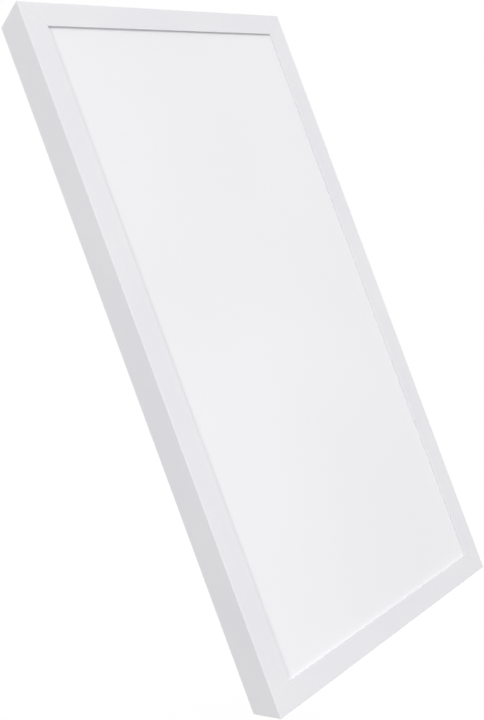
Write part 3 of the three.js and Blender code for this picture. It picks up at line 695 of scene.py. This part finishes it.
def drilled(node, kind, radius, length=20 * MM):
    """Tools for the plain holes of a node's screws."""
    return [post(middle(screw), radius + HOLE_GAP, length) for screw in screws_through(node, kind)]


def countersunk(node, kind, head, shank):
    """Tools for the holes of screws whose heads lie flush with the back of a node."""
    tools = []
    head += HOLE_GAP
    shank += HOLE_GAP
    reach = 2 * head
    for screw in screws_through(node, kind):
        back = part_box(screw)[1].y
        profile = [
            (0, back - reach),
            (shank, back - reach),
            (shank, back - (head - shank)),
            (head, back),
            (head, back + reach),
            (0, back + reach),
        ]
        tools.append(turned(profile, middle(screw).x, middle(screw).z))
    return tools


def rails():
    for side in SIDES:
        node = "rail_" + side
        upright = SIDES[side][1]
        tools = []
        for screw in screws_through(node, "key_screw"):
            spot = middle(screw)
            on_upright = abs(abs(spot.x) - WIDTH / 2) < FLANGE_WIDTH
            if on_upright == upright:
                tools.append(post((spot.x, 0, spot.z), ACCESS_HOLE, 4 * RAIL_WALL))
        if upright:
            tools += countersunk(node, "bar_screw", BAR_SCREW_HEAD, BAR_SCREW_SHANK)
        rail = mitred_rail(frame_section(), WIDTH, HEIGHT, side, EXTRUSION_EDGE)
        piece(node + "_extrusion", carved(rail, tools), body_of_frame(node), "white_powder_coat", node)


# ---- Screws ----


def cross_recess(x, back, z, arm, half, deep):
    """A cross that narrows as it goes in, towards -Y."""
    mouth = Vector((x, back + deep, z))
    corners = []
    for i in range(4):
        turn = Matrix.Rotation(-i * QUARTER, 3, "Y")
        for a, b in ((arm, half), (half, half), (half, arm)):
            corners.append(mouth + turn @ Vector((a, 0, b)))
    bm = extruded(corners, (0, -2 * deep, 0))
    inner = [v for v in bm.verts if v.co.y < back]
    taper = 0.45
    bmesh.ops.scale(bm, vec=(taper, 1, taper), space=Matrix.Translation((-x, 0, -z)), verts=inner)
    return bm


def countersunk_screw(node, head, shank):
    """A screw with a flush head, a cross recess and a plain point."""
    place = middle(node)
    low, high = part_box(node)
    profile = [
        (0, high.y),
        (head - SCREW_CHAMFER / 2, high.y),
        (head, high.y - SCREW_CHAMFER / 4),
        (shank, high.y - (head - shank)),
        (shank, low.y + SCREW_CHAMFER),
        (shank - SCREW_CHAMFER, low.y),
        (0, low.y),
    ]
    screw = turned(profile, place.x, place.z, 40)
    recess = cross_recess(place.x, high.y, place.z, head * 0.6, head * 0.14, head * 0.42)
    return carved(screw, [recess])


def pan_screw(node):
    """A screw with a domed head, a cross recess and a shank through the ear and the plate."""
    place = middle(node)
    low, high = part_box(node)
    head = PLATE_SCREW_HEAD
    seat = high.y - PAN_HEAD_HEIGHT
    profile = [
        (0, high.y),
        (head * 0.55, high.y),
        (head * 0.88, high.y - PAN_HEAD_HEIGHT * 0.28),
        (head, high.y - PAN_HEAD_HEIGHT * 0.65),
        (head, seat),
        (PLATE_SCREW_SHANK, seat),
        (PLATE_SCREW_SHANK, low.y),
        (0, low.y),
    ]
    screw = turned(profile, place.x, place.z, 40)
    recess = cross_recess(place.x, high.y, place.z, head * 0.5, head * 0.14, PAN_RECESS_DEPTH)
    return carved(screw, [recess])


def grub_screw(node):
    """A screw with no head, a chamfer at each end and a hexagon socket at its back."""
    place = middle(node)
    low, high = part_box(node)
    profile = [
        (0, high.y),
        (KEY_SCREW - SCREW_CHAMFER, high.y),
        (KEY_SCREW, high.y - SCREW_CHAMFER),
        (KEY_SCREW, low.y + SCREW_CHAMFER),
        (KEY_SCREW - SCREW_CHAMFER, low.y),
        (0, low.y),
    ]
    screw = turned(profile, place.x, place.z, 36)
    socket = post((place.x, high.y, place.z), KEY_SCREW / 2, 2 * SOCKET_DEPTH, sides=6)
    return carved(screw, [socket])


def screws():
    for node in SCREWS:
        if node.startswith("key_screw"):
            made, body = grub_screw(node), body_of_frame(node)
        elif node.startswith("bar_screw"):
            made, body = countersunk_screw(node, BAR_SCREW_HEAD, BAR_SCREW_SHANK), "frame"
        elif node.startswith("plate_screw"):
            made, body = countersunk_screw(node, PLATE_SCREW_HEAD, PLATE_SCREW_SHANK), "module"
        else:
            made, body = pan_screw(node), "module"
        piece(node + "_turned", made, body, "dark_screw", node)


# ---- Corner keys ----


def corner_key(node):
    """An L-shaped plate with two screw holes, softened edges and a cast hollow down each leg."""
    low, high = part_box(node)
    side_x = 1 if low.x > 0 else -1
    side_z = 1 if low.z > 0 else -1
    corner = Vector((high.x if side_x > 0 else low.x, 0, high.z if side_z > 0 else low.z))

    def at(a, b, y):
        """A place a and b in from the outer corner."""
        return corner + Vector((-side_x * a, y, -side_z * b))

    leg = high.x - low.x
    outline = [(0, 0), (leg, 0), (leg, KEY_WIDTH), (KEY_WIDTH, KEY_WIDTH), (KEY_WIDTH, leg), (0, leg)]
    key = extruded([at(a, b, low.y) for a, b in outline], (0, high.y - low.y, 0))
    soften(key, 0.5 * MM)
    key = carved(key, drilled(node, "key_screw", KEY_SCREW))
    inset = HOLLOW_INSET
    end = leg * 0.62
    hollows = []
    for near, far in (
        ((inset * 2, inset), (end, KEY_WIDTH - inset)),
        ((inset, inset * 2.2), (KEY_WIDTH - inset, end)),
    ):
        first = at(*near, high.y - HOLLOW_DEPTH)
        second = at(*far, high.y + HOLLOW_DEPTH)
        lower = [min(a, b) for a, b in zip(first, second)]
        upper = [max(a, b) for a, b in zip(first, second)]
        hollows.append(soften(block(lower, upper), 0.8 * MM))
    return carved(key, [carved(hollows[0], hollows[1:], "UNION")])


def corner_keys():
    for node in CORNER_KEYS:
        piece(node + "_casting", corner_key(node), body_of_frame(node), "cast_alloy", node)


# ---- Mounting bars ----


def keyhole(x, z):
    """A tool for a round that takes a wall screw's head, with a slot above it for its shank."""
    reach = 12 * MM
    steps = 24
    half = math.asin(KEYHOLE_SHANK / KEYHOLE_HEAD)
    corners = []
    for i in range(steps + 1):
        angle = QUARTER + half + (4 * QUARTER - 2 * half) * i / steps
        corners.append((KEYHOLE_HEAD * math.cos(angle), KEYHOLE_HEAD * math.sin(angle)))
    for i in range(steps // 2 + 1):
        angle = 2 * QUARTER * i / (steps // 2)
        corners.append((KEYHOLE_SHANK * math.cos(angle), KEYHOLE_RISE + KEYHOLE_SHANK * math.sin(angle)))
    return extruded([(x + a, -reach, z + b) for a, b in corners], (0, 2 * reach, 0))


def pressed_square(x, z, side, front, back):
    """A square pad with sloping sides that narrows towards its front, softened as a press leaves it."""
    half = side / 2 + DIMPLE_SLOPE
    pad = block((x - half, front, z - half), (x + half, back, z + half))
    near = [v for v in pad.verts if abs(v.co.y - front) < SAME]
    share = side / (side + 2 * DIMPLE_SLOPE)
    bmesh.ops.scale(pad, vec=(share, 1, share), space=Matrix.Translation((-x, 0, -z)), verts=near)
    return soften(pad, 1.0 * MM, 3, 30, lambda e: min(v.co.y for v in e.verts) < front + SAME)


def turned_edge(strip, edge, reach, by):
    """Turns one edge of a bar forward: the narrow faces along it are drawn out."""
    found = []
    for face in strip.faces:
        centre = face.calc_center_median()
        if face.normal.y < -0.9 and abs(centre.z - edge) < BAR_SHEET / 3 and abs(centre.x) < reach:
            found.append(face)
    made = bmesh.ops.extrude_face_region(strip, geom=found)["geom"]
    bmesh.ops.delete(strip, geom=[f for f in found if f.is_valid], context="FACES_ONLY")
    moved = [v for v in made if isinstance(v, bmesh.types.BMVert)]
    bmesh.ops.translate(strip, vec=(0, -by, 0), verts=moved)


def bar(node):
    """A strip joggled at its ends to lie inside the flanges, with both edges turned forward."""
    low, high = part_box(node)
    end = high.x
    bend = WIDTH / 2 - RAIL_WALL - FLANGE_WIDTH - BAR_SIDE_GAP
    flat = bend - BAR_JOGGLE
    reach = flat - BAR_JOGGLE
    back = high.y
    web = back - BAR_SHEET
    tongue_back = back - RAIL_WALL - BAR_TONGUE_GAP
    tongue = tongue_back - BAR_SHEET
    outline = [(-end, tongue), (-bend, tongue), (-flat, web), (flat, web), (bend, tongue), (end, tongue)]
    outline += [(end, tongue_back), (bend, tongue_back), (flat, back)]
    outline += [(-flat, back), (-bend, tongue_back), (-end, tongue_back)]
    strip = extruded([(x, y, low.z) for x, y in outline], (0, 0, high.z - low.z))

    def across_the_strip(e):
        first, second = e.verts[0].co, e.verts[1].co
        return abs(first.x) < end - 5 * MM and abs(first.x - second.x) < SAME

    def along_the_edge(v):
        return min(v.co.z - low.z, high.z - v.co.z) < SAME and abs(v.co.x) < reach + SAME

    def back_corner(e):
        return all(along_the_edge(v) and abs(v.co.y - back) < SAME for v in e.verts)

    soften(strip, 2.5 * MM, 3, 8, across_the_strip)
    for plane, normal in (
        ((-reach, 0, 0), (1, 0, 0)),
        ((reach, 0, 0), (1, 0, 0)),
        ((0, 0, low.z + BAR_SHEET), (0, 0, 1)),
        ((0, 0, high.z - BAR_SHEET), (0, 0, 1)),
    ):
        geom = strip.verts[:] + strip.edges[:] + strip.faces[:]
        bmesh.ops.bisect_plane(strip, geom=geom, dist=TOUCHING, plane_co=plane, plane_no=normal)
    for edge in (low.z + BAR_SHEET / 2, high.z - BAR_SHEET / 2):
        turned_edge(strip, edge, reach, web - low.y)
    bmesh.ops.recalc_face_normals(strip, faces=strip.faces)
    return soften(ordered(strip), 1.3 * MM, 3, 30, back_corner)


def dimpled(strip, back):
    """The middle bar with a square well pressed into it, where the grommet sits."""
    place = middle("cable_grommet")
    web = back - BAR_SHEET
    front = web - DIMPLE_HEIGHT
    well = pressed_square(place.x, place.z, DIMPLE_SIDE, front, web + BAR_SHEET / 2)
    inner_side = DIMPLE_SIDE - 2 * BAR_SHEET
    inside = pressed_square(place.x, place.z, inner_side, front + BAR_SHEET, back + BAR_SHEET)
    return carved(carved(strip, [well], "UNION"), [inside])


def bars():
    for node in ("bar_upper", "bar_middle", "bar_lower"):
        z = middle(node).z
        strip = bar(node)
        tools = drilled(node, "bar_screw", BAR_SCREW_SHANK)
        if node == "bar_middle":
            strip = dimpled(strip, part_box(node)[1].y)
            tools += [post((x, 0, z), KEYHOLE_SHANK, 20 * MM) for x in (-KEYHOLE_OFFSET, KEYHOLE_OFFSET)]
            entry = (middle("cable_grommet").x, 0, z)
            tools.append(post(entry, GROMMET_NECK + HOLE_GAP, 40 * MM, sides=56))
        else:
            tools += [keyhole(x, z) for x in (-KEYHOLE_OFFSET, KEYHOLE_OFFSET)]
        piece(node + "_pressing", carved(strip, tools), "frame", "zinc_steel", node)


# ---- Rubber rings ----


def groove_ring(node, bore, neck, thickness):
    """A ring with a flange on each side of a sheet, whose groove grips the edge of the sheet's hole."""
    place = middle(node)
    low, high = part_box(node)
    flange = (high.x - low.x) / 2
    round_edge = thickness * 0.3
    profile = [
        (bore, low.y),
        (flange - round_edge, low.y),
        (flange, low.y + round_edge),
        (flange, low.y + thickness),
        (neck, low.y + thickness),
        (neck, high.y - thickness),
        (flange, high.y - thickness),
        (flange, high.y - round_edge),
        (flange - round_edge, high.y),
        (bore, high.y),
        (bore, low.y),
    ]
    ring = turned(profile, place.x, place.z, 56)
    return soften(ring, round_edge / 2, 2, 40)


def rubber_rings():
    grommet = groove_ring("cable_grommet", GROMMET_BORE, GROMMET_NECK, GROMMET_FLANGE)
    piece("cable_grommet_ring", grommet, "frame", "black_rubber", "cable_grommet")
    bore = OUTPUT_RADIUS + HOLE_GAP
    gland = groove_ring("lead_gland", bore, bore + GLAND_WALL, GLAND_FLANGE)
    piece("lead_gland_ring", gland, "module", "black_rubber", "lead_gland")


# ---- The module's bezel, diffuser and back plate ----


def bezel_section():
    """A narrow lip before the diffuser, a wall, and a leg behind that the back plate is screwed to."""
    low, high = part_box("bezel_bottom")
    leg = high.y - BEZEL_LIP
    return [
        (0, low.y),
        (BEZEL_LIP_WIDTH, low.y),
        (BEZEL_LIP_WIDTH, low.y + BEZEL_LIP),
        (BEZEL_WALL, low.y + BEZEL_LIP),
        (BEZEL_WALL, leg),
        (BEZEL_LEG, leg),
        (BEZEL_LEG, high.y),
        (0, high.y),
    ]


def plate_sinks(node):
    return countersunk(node, "plate_screw", PLATE_SCREW_HEAD, PLATE_SCREW_SHANK)


def bezel():
    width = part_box("bezel_right")[1].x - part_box("bezel_left")[0].x
    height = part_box("bezel_top")[1].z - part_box("bezel_bottom")[0].z
    for side in SIDES:
        node = "bezel_" + side
        rail = mitred_rail(bezel_section(), width, height, side, BEZEL_EDGE)
        piece(node + "_rail", carved(rail, plate_sinks(node)), "module", "bezel_aluminium", node)


def diffuser():
    """A shallow formed tray: its face is level with the bezel's lip, and its rim lies behind that lip."""
    low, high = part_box("diffuser")
    face_back = low.y + DIFFUSER_SHEET
    inset = Vector((FACE_INSET, 0, FACE_INSET))
    face = block(low + inset, Vector((high.x, face_back, high.z)) - inset)
    soften(face, 0.6 * MM, 4, 30, lambda e: max(v.co.y for v in e.verts) < low.y + SAME)
    rim = soften(block((low.x, high.y - DIFFUSER_SHEET, low.z), high), 0.2 * MM)
    tray = carved(face, [rim], "UNION")
    inner = inset + Vector((DIFFUSER_SHEET, 0, DIFFUSER_SHEET))
    hollow_low = Vector((low.x, face_back, low.z)) + inner
    hollow_high = Vector((high.x, high.y + MM, high.z)) - inner
    tray = carved(tray, [block(hollow_low, hollow_high)])
    piece("diffuser_tray", tray, "module", "opal_sheet", "diffuser")


def pressed_rib(x, z, length, upright):
    """A long shallow rib with sloping sides, raised from the back plate."""
    low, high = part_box("back_plate")
    half_x, half_z = PRESSED_WIDTH / 2, length / 2
    if not upright:
        half_x, half_z = half_z, half_x
    base = (low.y + high.y) / 2
    rib = block((x - half_x, base, z - half_z), (x + half_x, high.y + PRESSED_RISE, z + half_z))
    for v in rib.verts:
        if v.co.y > high.y:
            v.co.x -= math.copysign(PRESSED_SLOPE, v.co.x - x)
            v.co.z -= math.copysign(PRESSED_SLOPE, v.co.z - z)
    return soften(rib, 1.2 * MM, 3, 5, lambda e: max(v.co.y for v in e.verts) > high.y)


def back_plate():
    """The plate with its pressed ribs, its screws' holes and the gland's hole."""
    low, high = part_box("back_plate")
    ribs = [pressed_rib(x, 0, RIB_LENGTH, True) for x in (-RIB_X, RIB_X)]
    ribs += [pressed_rib(0, z, 1.6 * RIB_X, False) for z in RIB_HEIGHTS]
    plate = carved(block(low, high), ribs, "UNION")
    gland = middle("lead_gland")
    neck = OUTPUT_RADIUS + HOLE_GAP + GLAND_WALL
    tools = plate_sinks("back_plate") + drilled("back_plate", "driver_screw", PLATE_SCREW_SHANK)
    tools.append(post((gland.x, high.y, gland.z), neck + HOLE_GAP, 6 * MM))
    piece("back_plate_pressing", carved(plate, tools), "module", "white_plate", "back_plate")


# ---- Driver ----


def driver_base():
    """A floor with a rounded, drilled ear at each end, and two inner ribs under the board."""
    low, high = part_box("driver_base")
    x, z = middle("driver_base").x, middle("driver_base").z
    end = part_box("driver_lid")[1].x - x
    ear = high.x - x
    side = (high.z - low.z) / 2
    neck = side / 3
    outline = [(-end, -side), (end, -side), (end, -neck), (ear, -neck), (ear, neck), (end, neck)]
    outline += [(-a, -b) for a, b in outline]
    base = extruded([(x + a, low.y, z + b) for a, b in outline], (0, BASE_FLOOR, 0))

    def ear_corner(e):
        return runs_back(e, 1 * MM) and abs(e.verts[0].co.x - x) > ear - 1 * MM

    def side_corner(e):
        return runs_back(e, 1 * MM) and abs(e.verts[0].co.z - z) > side - 1 * MM

    soften(base, 3 * MM, 4, 30, ear_corner)
    soften(base, 2 * MM, 4, 30, side_corner)
    soften(base, 0.3 * MM, 2, 50)
    ribs = []
    half = 1 * MM
    for rib_z in (z - side / 2, z + side / 2):
        foot = (x - end / 2, low.y + BASE_FLOOR / 2, rib_z - half)
        ribs.append(block(foot, (x + end / 2, high.y, rib_z + half)))
    base = carved(base, ribs, "UNION")
    base = carved(base, drilled("driver_base", "driver_screw", PLATE_SCREW_SHANK))
    piece("driver_base_moulding", base, "module", "driver_casing", "driver_base")


def finger_grooves(centre, low, high):
    """Tools for six short grooves near each end of the lid, on both of its long sides."""
    half = Vector((0.9 * MM, 8 * MM, 0.5 * MM))
    tools = []
    for end in (-1, 1):
        for i in range(6):
            x = centre.x + end * (30 + 6 * i) * MM
            for z in (low.z, high.z):
                place = Vector((x, centre.y + 1 * MM, z))
                tools.append(soften(block(place - half, place + half), 0.3 * MM))
    return tools


def driver_lid():
    """A hollow cover with softened edges, a sunk panel on its back, grooves and a hole for each lead."""
    low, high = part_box("driver_lid")
    centre = middle("driver_lid")
    lid = block(low, high)
    soften(lid, 2.4 * MM, 4, 30, lambda e: max(v.co.y for v in e.verts) > low.y + 1 * MM)
    wall = Vector((LID_WALL, 0, LID_WALL))
    forward = Vector((0, LID_WALL, 0))
    lid = carved(lid, [block(low + wall - forward, high - wall - forward)])
    panel = Vector((42 * MM, 0.35 * MM, 15 * MM))
    on_back = Vector((centre.x, high.y, centre.z))
    sunk = block(on_back - panel, on_back + panel)
    tools = [soften(sunk, 1.5 * MM, 3, 30, lambda e: runs_back(e, panel.y))]
    for x, radius in ((low.x, OUTPUT_RADIUS), (high.x, INPUT_RADIUS)):
        exit_place = (x, low.y + LEAD_EXIT, centre.z)
        tools.append(post(exit_place, radius + HOLE_GAP, 4 * LID_WALL, "X"))
    lid = carved(lid, tools + finger_grooves(centre, low, high))
    piece("driver_lid_moulding", lid, "module", "driver_casing", "driver_lid")


# ---- Leads ----


def lead(points, radius):
    """A round lead along a smooth line. Its points are in mm: x, how far behind the back plate, and z."""
    curve = bpy.data.curves.new("lead", "CURVE")
    curve.dimensions = "3D"
    curve.resolution_u = 6
    curve.bevel_depth = radius
    curve.bevel_resolution = 4
    curve.use_fill_caps = True
    spline = curve.splines.new("BEZIER")
    spline.bezier_points.add(len(points) - 1)
    plate_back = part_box("back_plate")[1].y
    for knot, (x, behind, z) in zip(spline.bezier_points, points):
        knot.co = (x * MM, plate_back + behind * MM, z * MM)
        knot.handle_left_type = "AUTO"
        knot.handle_right_type = "AUTO"
    line = placed("lead", curve)
    bm = as_shown(line)
    bmesh.ops.remove_doubles(bm, verts=bm.verts, dist=SAME)
    bmesh.ops.recalc_face_normals(bm, faces=bm.faces)
    bpy.data.objects.remove(line)
    bpy.data.curves.remove(curve)
    return bm


def leads():
    """The output lead runs through the clips to the gland. The input lead ends in a core for each pole."""
    level_run = [(-97, 9.4), (-111, 9.4), (-117, 8.9), (-131.8, 4.9), (-140.8, 4.9), (-174.8, 4.9)]
    level_run += [(-183.8, 5.9), (-194.8, 12.9), (-209.8, 13.9), (-216.8, 4.9), (-216.8, -1.7)]
    output = [(x, behind, 170) for x, behind in level_run]
    piece("output_lead_run", lead(output, OUTPUT_RADIUS), "module", "white_sheath", "output_lead")
    input_sheath = [
        (37, 9.4, 170),
        (49, 9.4, 170),
        (68, 8.4, 167),
        (85, 8.4, 156),
        (90, 8.4, 137),
        (90, 8.4, 129),
    ]
    parts = [lead(input_sheath, INPUT_RADIUS)]
    for pole in POLES:
        x = middle(pole).x / MM
        core = [
            (90, 8.4, 134),
            (90 + (x - 90) * 0.25, 8.4, 128.6),
            (x, 6.8, 119),
            (x, 5.2, 113),
            (x, 5.2, 107.2),
        ]
        parts.append(lead(core, CORE_RADIUS))
    piece("input_lead_run", merged(parts), "module", "white_sheath", "input_lead")


def lead_clip(node):
    """A saddle over the lead, on a foot that is stuck to the plate."""
    low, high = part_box(node)
    place = middle(node)
    place.y = high.y - CLIP_WALL - HOLE_GAP - OUTPUT_RADIUS
    saddle = post(place, high.y - place.y, high.x - low.x, "X")
    soften(saddle, 0.3 * MM, 2, 60)
    under = block((low.x - MM, low.y - 9 * MM, low.z), (high.x + MM, low.y + CLIP_BASE / 2, high.z))
    saddle = carved(saddle, [under])
    foot = block(low, (high.x, low.y + CLIP_BASE, high.z))
    soften(foot, 1.2 * MM, 3, 30, lambda e: runs_back(e, CLIP_BASE / 2))
    clip = carved(foot, [saddle], "UNION")
    return carved(clip, [post(place, OUTPUT_RADIUS + HOLE_GAP, 20 * MM, "X")])


def lead_clips():
    for node in ("lead_clip_1", "lead_clip_2"):
        piece(node + "_saddle", lead_clip(node), "module", "grey_plastic", node)


# ---- Terminal block and its levers ----


def wire_funnel(x, y, z):
    """A tool for a wire's way in from below: a wide mouth that narrows to a bore."""
    profile = [(0, -1), (3.4, -1), (3.4, 0.4), (1.9, 2.2), (1.9, 12), (0, 12)]
    funnel = turned([(radius * MM, along * MM) for radius, along in profile], 0, 0, 32)
    bmesh.ops.rotate(funnel, cent=(0, 0, 0), matrix=Matrix.Rotation(QUARTER, 3, "X"), verts=funnel.verts)
    bmesh.ops.translate(funnel, vec=(x, y, z), verts=funnel.verts)
    return funnel


def terminal_block():
    """A moulding with a lever's well, a funnel below, a bore above and a test hole for each pole."""
    low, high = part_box("terminal_block")
    body = soften(block(low, high), 0.8 * MM, 3)
    well = LEVER_WIDTH / 2 + HOLE_GAP
    well_front = high.y - LEVER_THICKNESS - LEVER_GAP
    well_top = PIVOT_Z + LEVER_THICKNESS / 2 + LEVER_GAP
    entry_y = low.y + WIRE_ENTRY
    past = 5 * MM
    test_hole = 0.9 * MM
    tools = []
    for pole in POLES:
        x = middle(pole).x
        cut = block((x - well, well_front, low.z - past), (x + well, high.y + past, well_top))
        tools.append(soften(cut, 0.3 * MM))
        tools.append(wire_funnel(x, entry_y, low.z))
        tools.append(post((x, entry_y, high.z), CORE_RADIUS + HOLE_GAP, 12 * MM, "Z"))
        tools.append(post((x, high.y, high.z - 5 * MM), test_hole, 6 * MM))
    body = carved(body, tools)
    first, last = middle(POLES[0]).x, middle(POLES[-1]).x
    into_walls = 1.2 * MM
    length = last - first + LEVER_WIDTH + 2 * into_walls
    pivot = ((first + last) / 2, PIVOT_Y, PIVOT_Z)
    body = carved(body, [post(pivot, PIVOT_RADIUS + HOLE_GAP, length, "X", 24)])
    piece("terminal_block_moulding", body, "module", "grey_plastic", "terminal_block")


def lever(node):
    """A flat arm that is round at its pivot, with a lifting edge and grip grooves at its tip."""
    low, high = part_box(node)
    x = middle(node).x
    half = LEVER_THICKNESS / 2
    steps = 8
    side = []
    for i in range(steps + 1):
        angle = 2 * QUARTER * i / steps
        side.append((PIVOT_Y + half * math.cos(angle), PIVOT_Z + half * math.sin(angle)))
    tip = PIVOT_Z - LEVER_LENGTH
    side += [(PIVOT_Y - half, tip + 3 * MM), (PIVOT_Y - half * 0.4, tip), (PIVOT_Y + half, tip)]
    arm = extruded([(x - LEVER_WIDTH / 2, y, z) for y, z in side], (LEVER_WIDTH, 0, 0))
    soften(arm, 0.35 * MM, 2, 35)
    grooves = []
    for i in range(3):
        centre = (x, PIVOT_Y + half + 0.15 * MM, tip + (2 + 1.8 * i) * MM)
        grooves.append(post(centre, 0.5 * MM, LEVER_WIDTH * 0.7, "X", 16))
    arm = carved(arm, grooves)
    stub = post((x, PIVOT_Y, PIVOT_Z), PIVOT_RADIUS, high.x - low.x, "X", 24)
    return carved(arm, [stub], "UNION")


def levers():
    for i, node in enumerate(POLES, 1):
        piece(node + "_arm", lever(node), f"lever_{i}", "orange_lever", node)


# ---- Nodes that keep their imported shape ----


def finish_kept_nodes():
    """The sheets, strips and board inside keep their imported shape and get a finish."""
    slots = {
        "light_guide": "clear_acrylic",
        "reflector_sheet": "white_film",
        "strip_jumper": "white_film",
        "foam_sheet": "grey_foam",
        "led_strip_left": "strip_board",
        "led_strip_right": "strip_board",
        "driver_board": "driver_circuit",
    }
    for node, slot in slots.items():
        for material_slot in frame["nodes"][node].material_slots:
            material_slot.material = FINISHES[slot]


# ---- Camera, light and floor ----

# The floor: how much light it gives back, how strongly it glows where it is seen, and the glow's share
FLOOR_GREY = 0.28
FLOOR_GLOW = 1.5
FLOOR_GLOW_SHARE = 0.6


def rotation(degrees, axis):
    return Matrix.Rotation(math.radians(degrees), 4, axis)


def camera():
    """A view from low down on the left, with the camera rolled so that the panel leans."""
    data = bpy.data.cameras.new("camera")
    data.lens = 37.126
    data.sensor_width = 36
    data.shift_x = 0.08827
    data.shift_y = 0.07074
    data.clip_start = 0.05
    data.clip_end = 50
    made = placed("camera", data)
    place = Matrix.Translation((-0.96631, -1.01801, -0.11454))
    heading = rotation(-35.838, "Z")
    pitch = rotation(90 + 0.919, "X")
    roll = rotation(-20.233, "Z")
    made.matrix_world = place @ heading @ pitch @ roll
    bpy.context.scene.camera = made


def larger(tree, first, second):
    """The larger of two values."""
    node = new_node(tree, "Math")
    node.operation = "MAXIMUM"
    tree.links.new(first, node.inputs[0])
    tree.links.new(second, node.inputs[1])
    return node.outputs[0]


def seen_directly(tree):
    """1 for a ray from the camera, or one that has met only shiny or clear surfaces."""
    path = new_node(tree, "LightPath").outputs
    mirrored = larger(tree, path["Is Glossy Ray"], path["Is Transmission Ray"])
    return larger(tree, path["Is Camera Ray"], mirrored)


def mixed(tree, share, first, second, output):
    """Sends a mix of two shaders to an output."""
    mix = new_node(tree, "MixShader")
    tree.links.new(share, mix.inputs[0])
    tree.links.new(first.outputs[0], mix.inputs[1])
    tree.links.new(second.outputs[0], mix.inputs[2])
    tree.links.new(mix.outputs[0], new_node(tree, output).inputs[0])


def world(level):
    """An even light from all round, which looks plain white itself."""
    made = bpy.data.worlds.new("studio")
    made.use_nodes = True
    tree = made.node_tree
    tree.nodes.clear()
    ambient = new_node(tree, "Background", Color=WHITE, Strength=level)
    white = new_node(tree, "Background", Color=WHITE, Strength=1)
    mixed(tree, seen_directly(tree), ambient, white, "OutputWorld")
    bpy.context.scene.world = made


def aimed(name, data, towards):
    """A light that shines on the panel from a direction."""
    made = placed(name, data)
    made.rotation_euler = Vector(towards).to_track_quat("Z", "Y").to_euler()
    return made


def sun(name, towards, level, spread):
    """A soft light from a direction. A level of 1 lights a white surface that faces it to full white."""
    data = bpy.data.lights.new(name, "SUN")
    data.energy = level * math.pi
    data.angle = math.radians(spread)
    return aimed(name, data, towards)


def lamp(name, towards, distance, level, spread):
    """A round lamp. A level of 1 lights a white surface at the origin that faces it to full white."""
    data = bpy.data.lights.new(name, "AREA")
    data.shape = "DISK"
    half = math.radians(spread / 2)
    radius = distance * math.tan(half)
    data.size = 2 * radius
    data.energy = level * math.pi * math.pi * radius**2 / math.sin(half) ** 2
    made = aimed(name, data, towards)
    made.location = Vector(towards).normalized() * distance
    made.visible_camera = False


def floor(height):
    """A pale floor. Where it is fully lit it looks plain white, and it takes the panel's shadow."""
    reach = 80
    bm = bmesh.new()
    bmesh.ops.create_grid(bm, x_segments=1, y_segments=1, size=reach)
    bmesh.ops.translate(bm, vec=(0, 0, height), verts=bm.verts)
    made = placed("floor", mesh_of(bm, "floor"))
    material = bpy.data.materials.new("floor")
    material.use_nodes = True
    tree = material.node_tree
    tree.nodes.clear()
    grey = (FLOOR_GREY, FLOOR_GREY, FLOOR_GREY, 1)
    pale = new_node(tree, "BsdfDiffuse", Color=grey)
    white = new_node(tree, "Emission", Strength=FLOOR_GLOW)
    whitened = new_node(tree, "Math")
    whitened.operation = "MULTIPLY"
    whitened.inputs[1].default_value = FLOOR_GLOW_SHARE
    tree.links.new(seen_directly(tree), whitened.inputs[0])
    mixed(tree, whitened.outputs[0], pale, white, "OutputMaterial")
    made.data.materials.append(material)


camera()
rails()
corner_keys()
bars()
rubber_rings()
bezel()
diffuser()
back_plate()
driver_base()
driver_lid()
leads()
lead_clips()
terminal_block()
levers()
screws()
finish_kept_nodes()
world(0.57)
lamp("side_key", (-0.91, -0.41, -0.06), 4, 0.28, 18)
front_key = sun("front_key", (-0.07, -0.85, 0.38), 0.485, 60)
front_key.visible_glossy = False
sun("back_fill", (0.25, 0.85, 0.35), 0.32, 90)
sun("right_fill", (0.95, 0.10, 0.30), 0.22, 60)
floor(-0.85)
bpy.context.scene.view_settings.view_transform = "Standard"
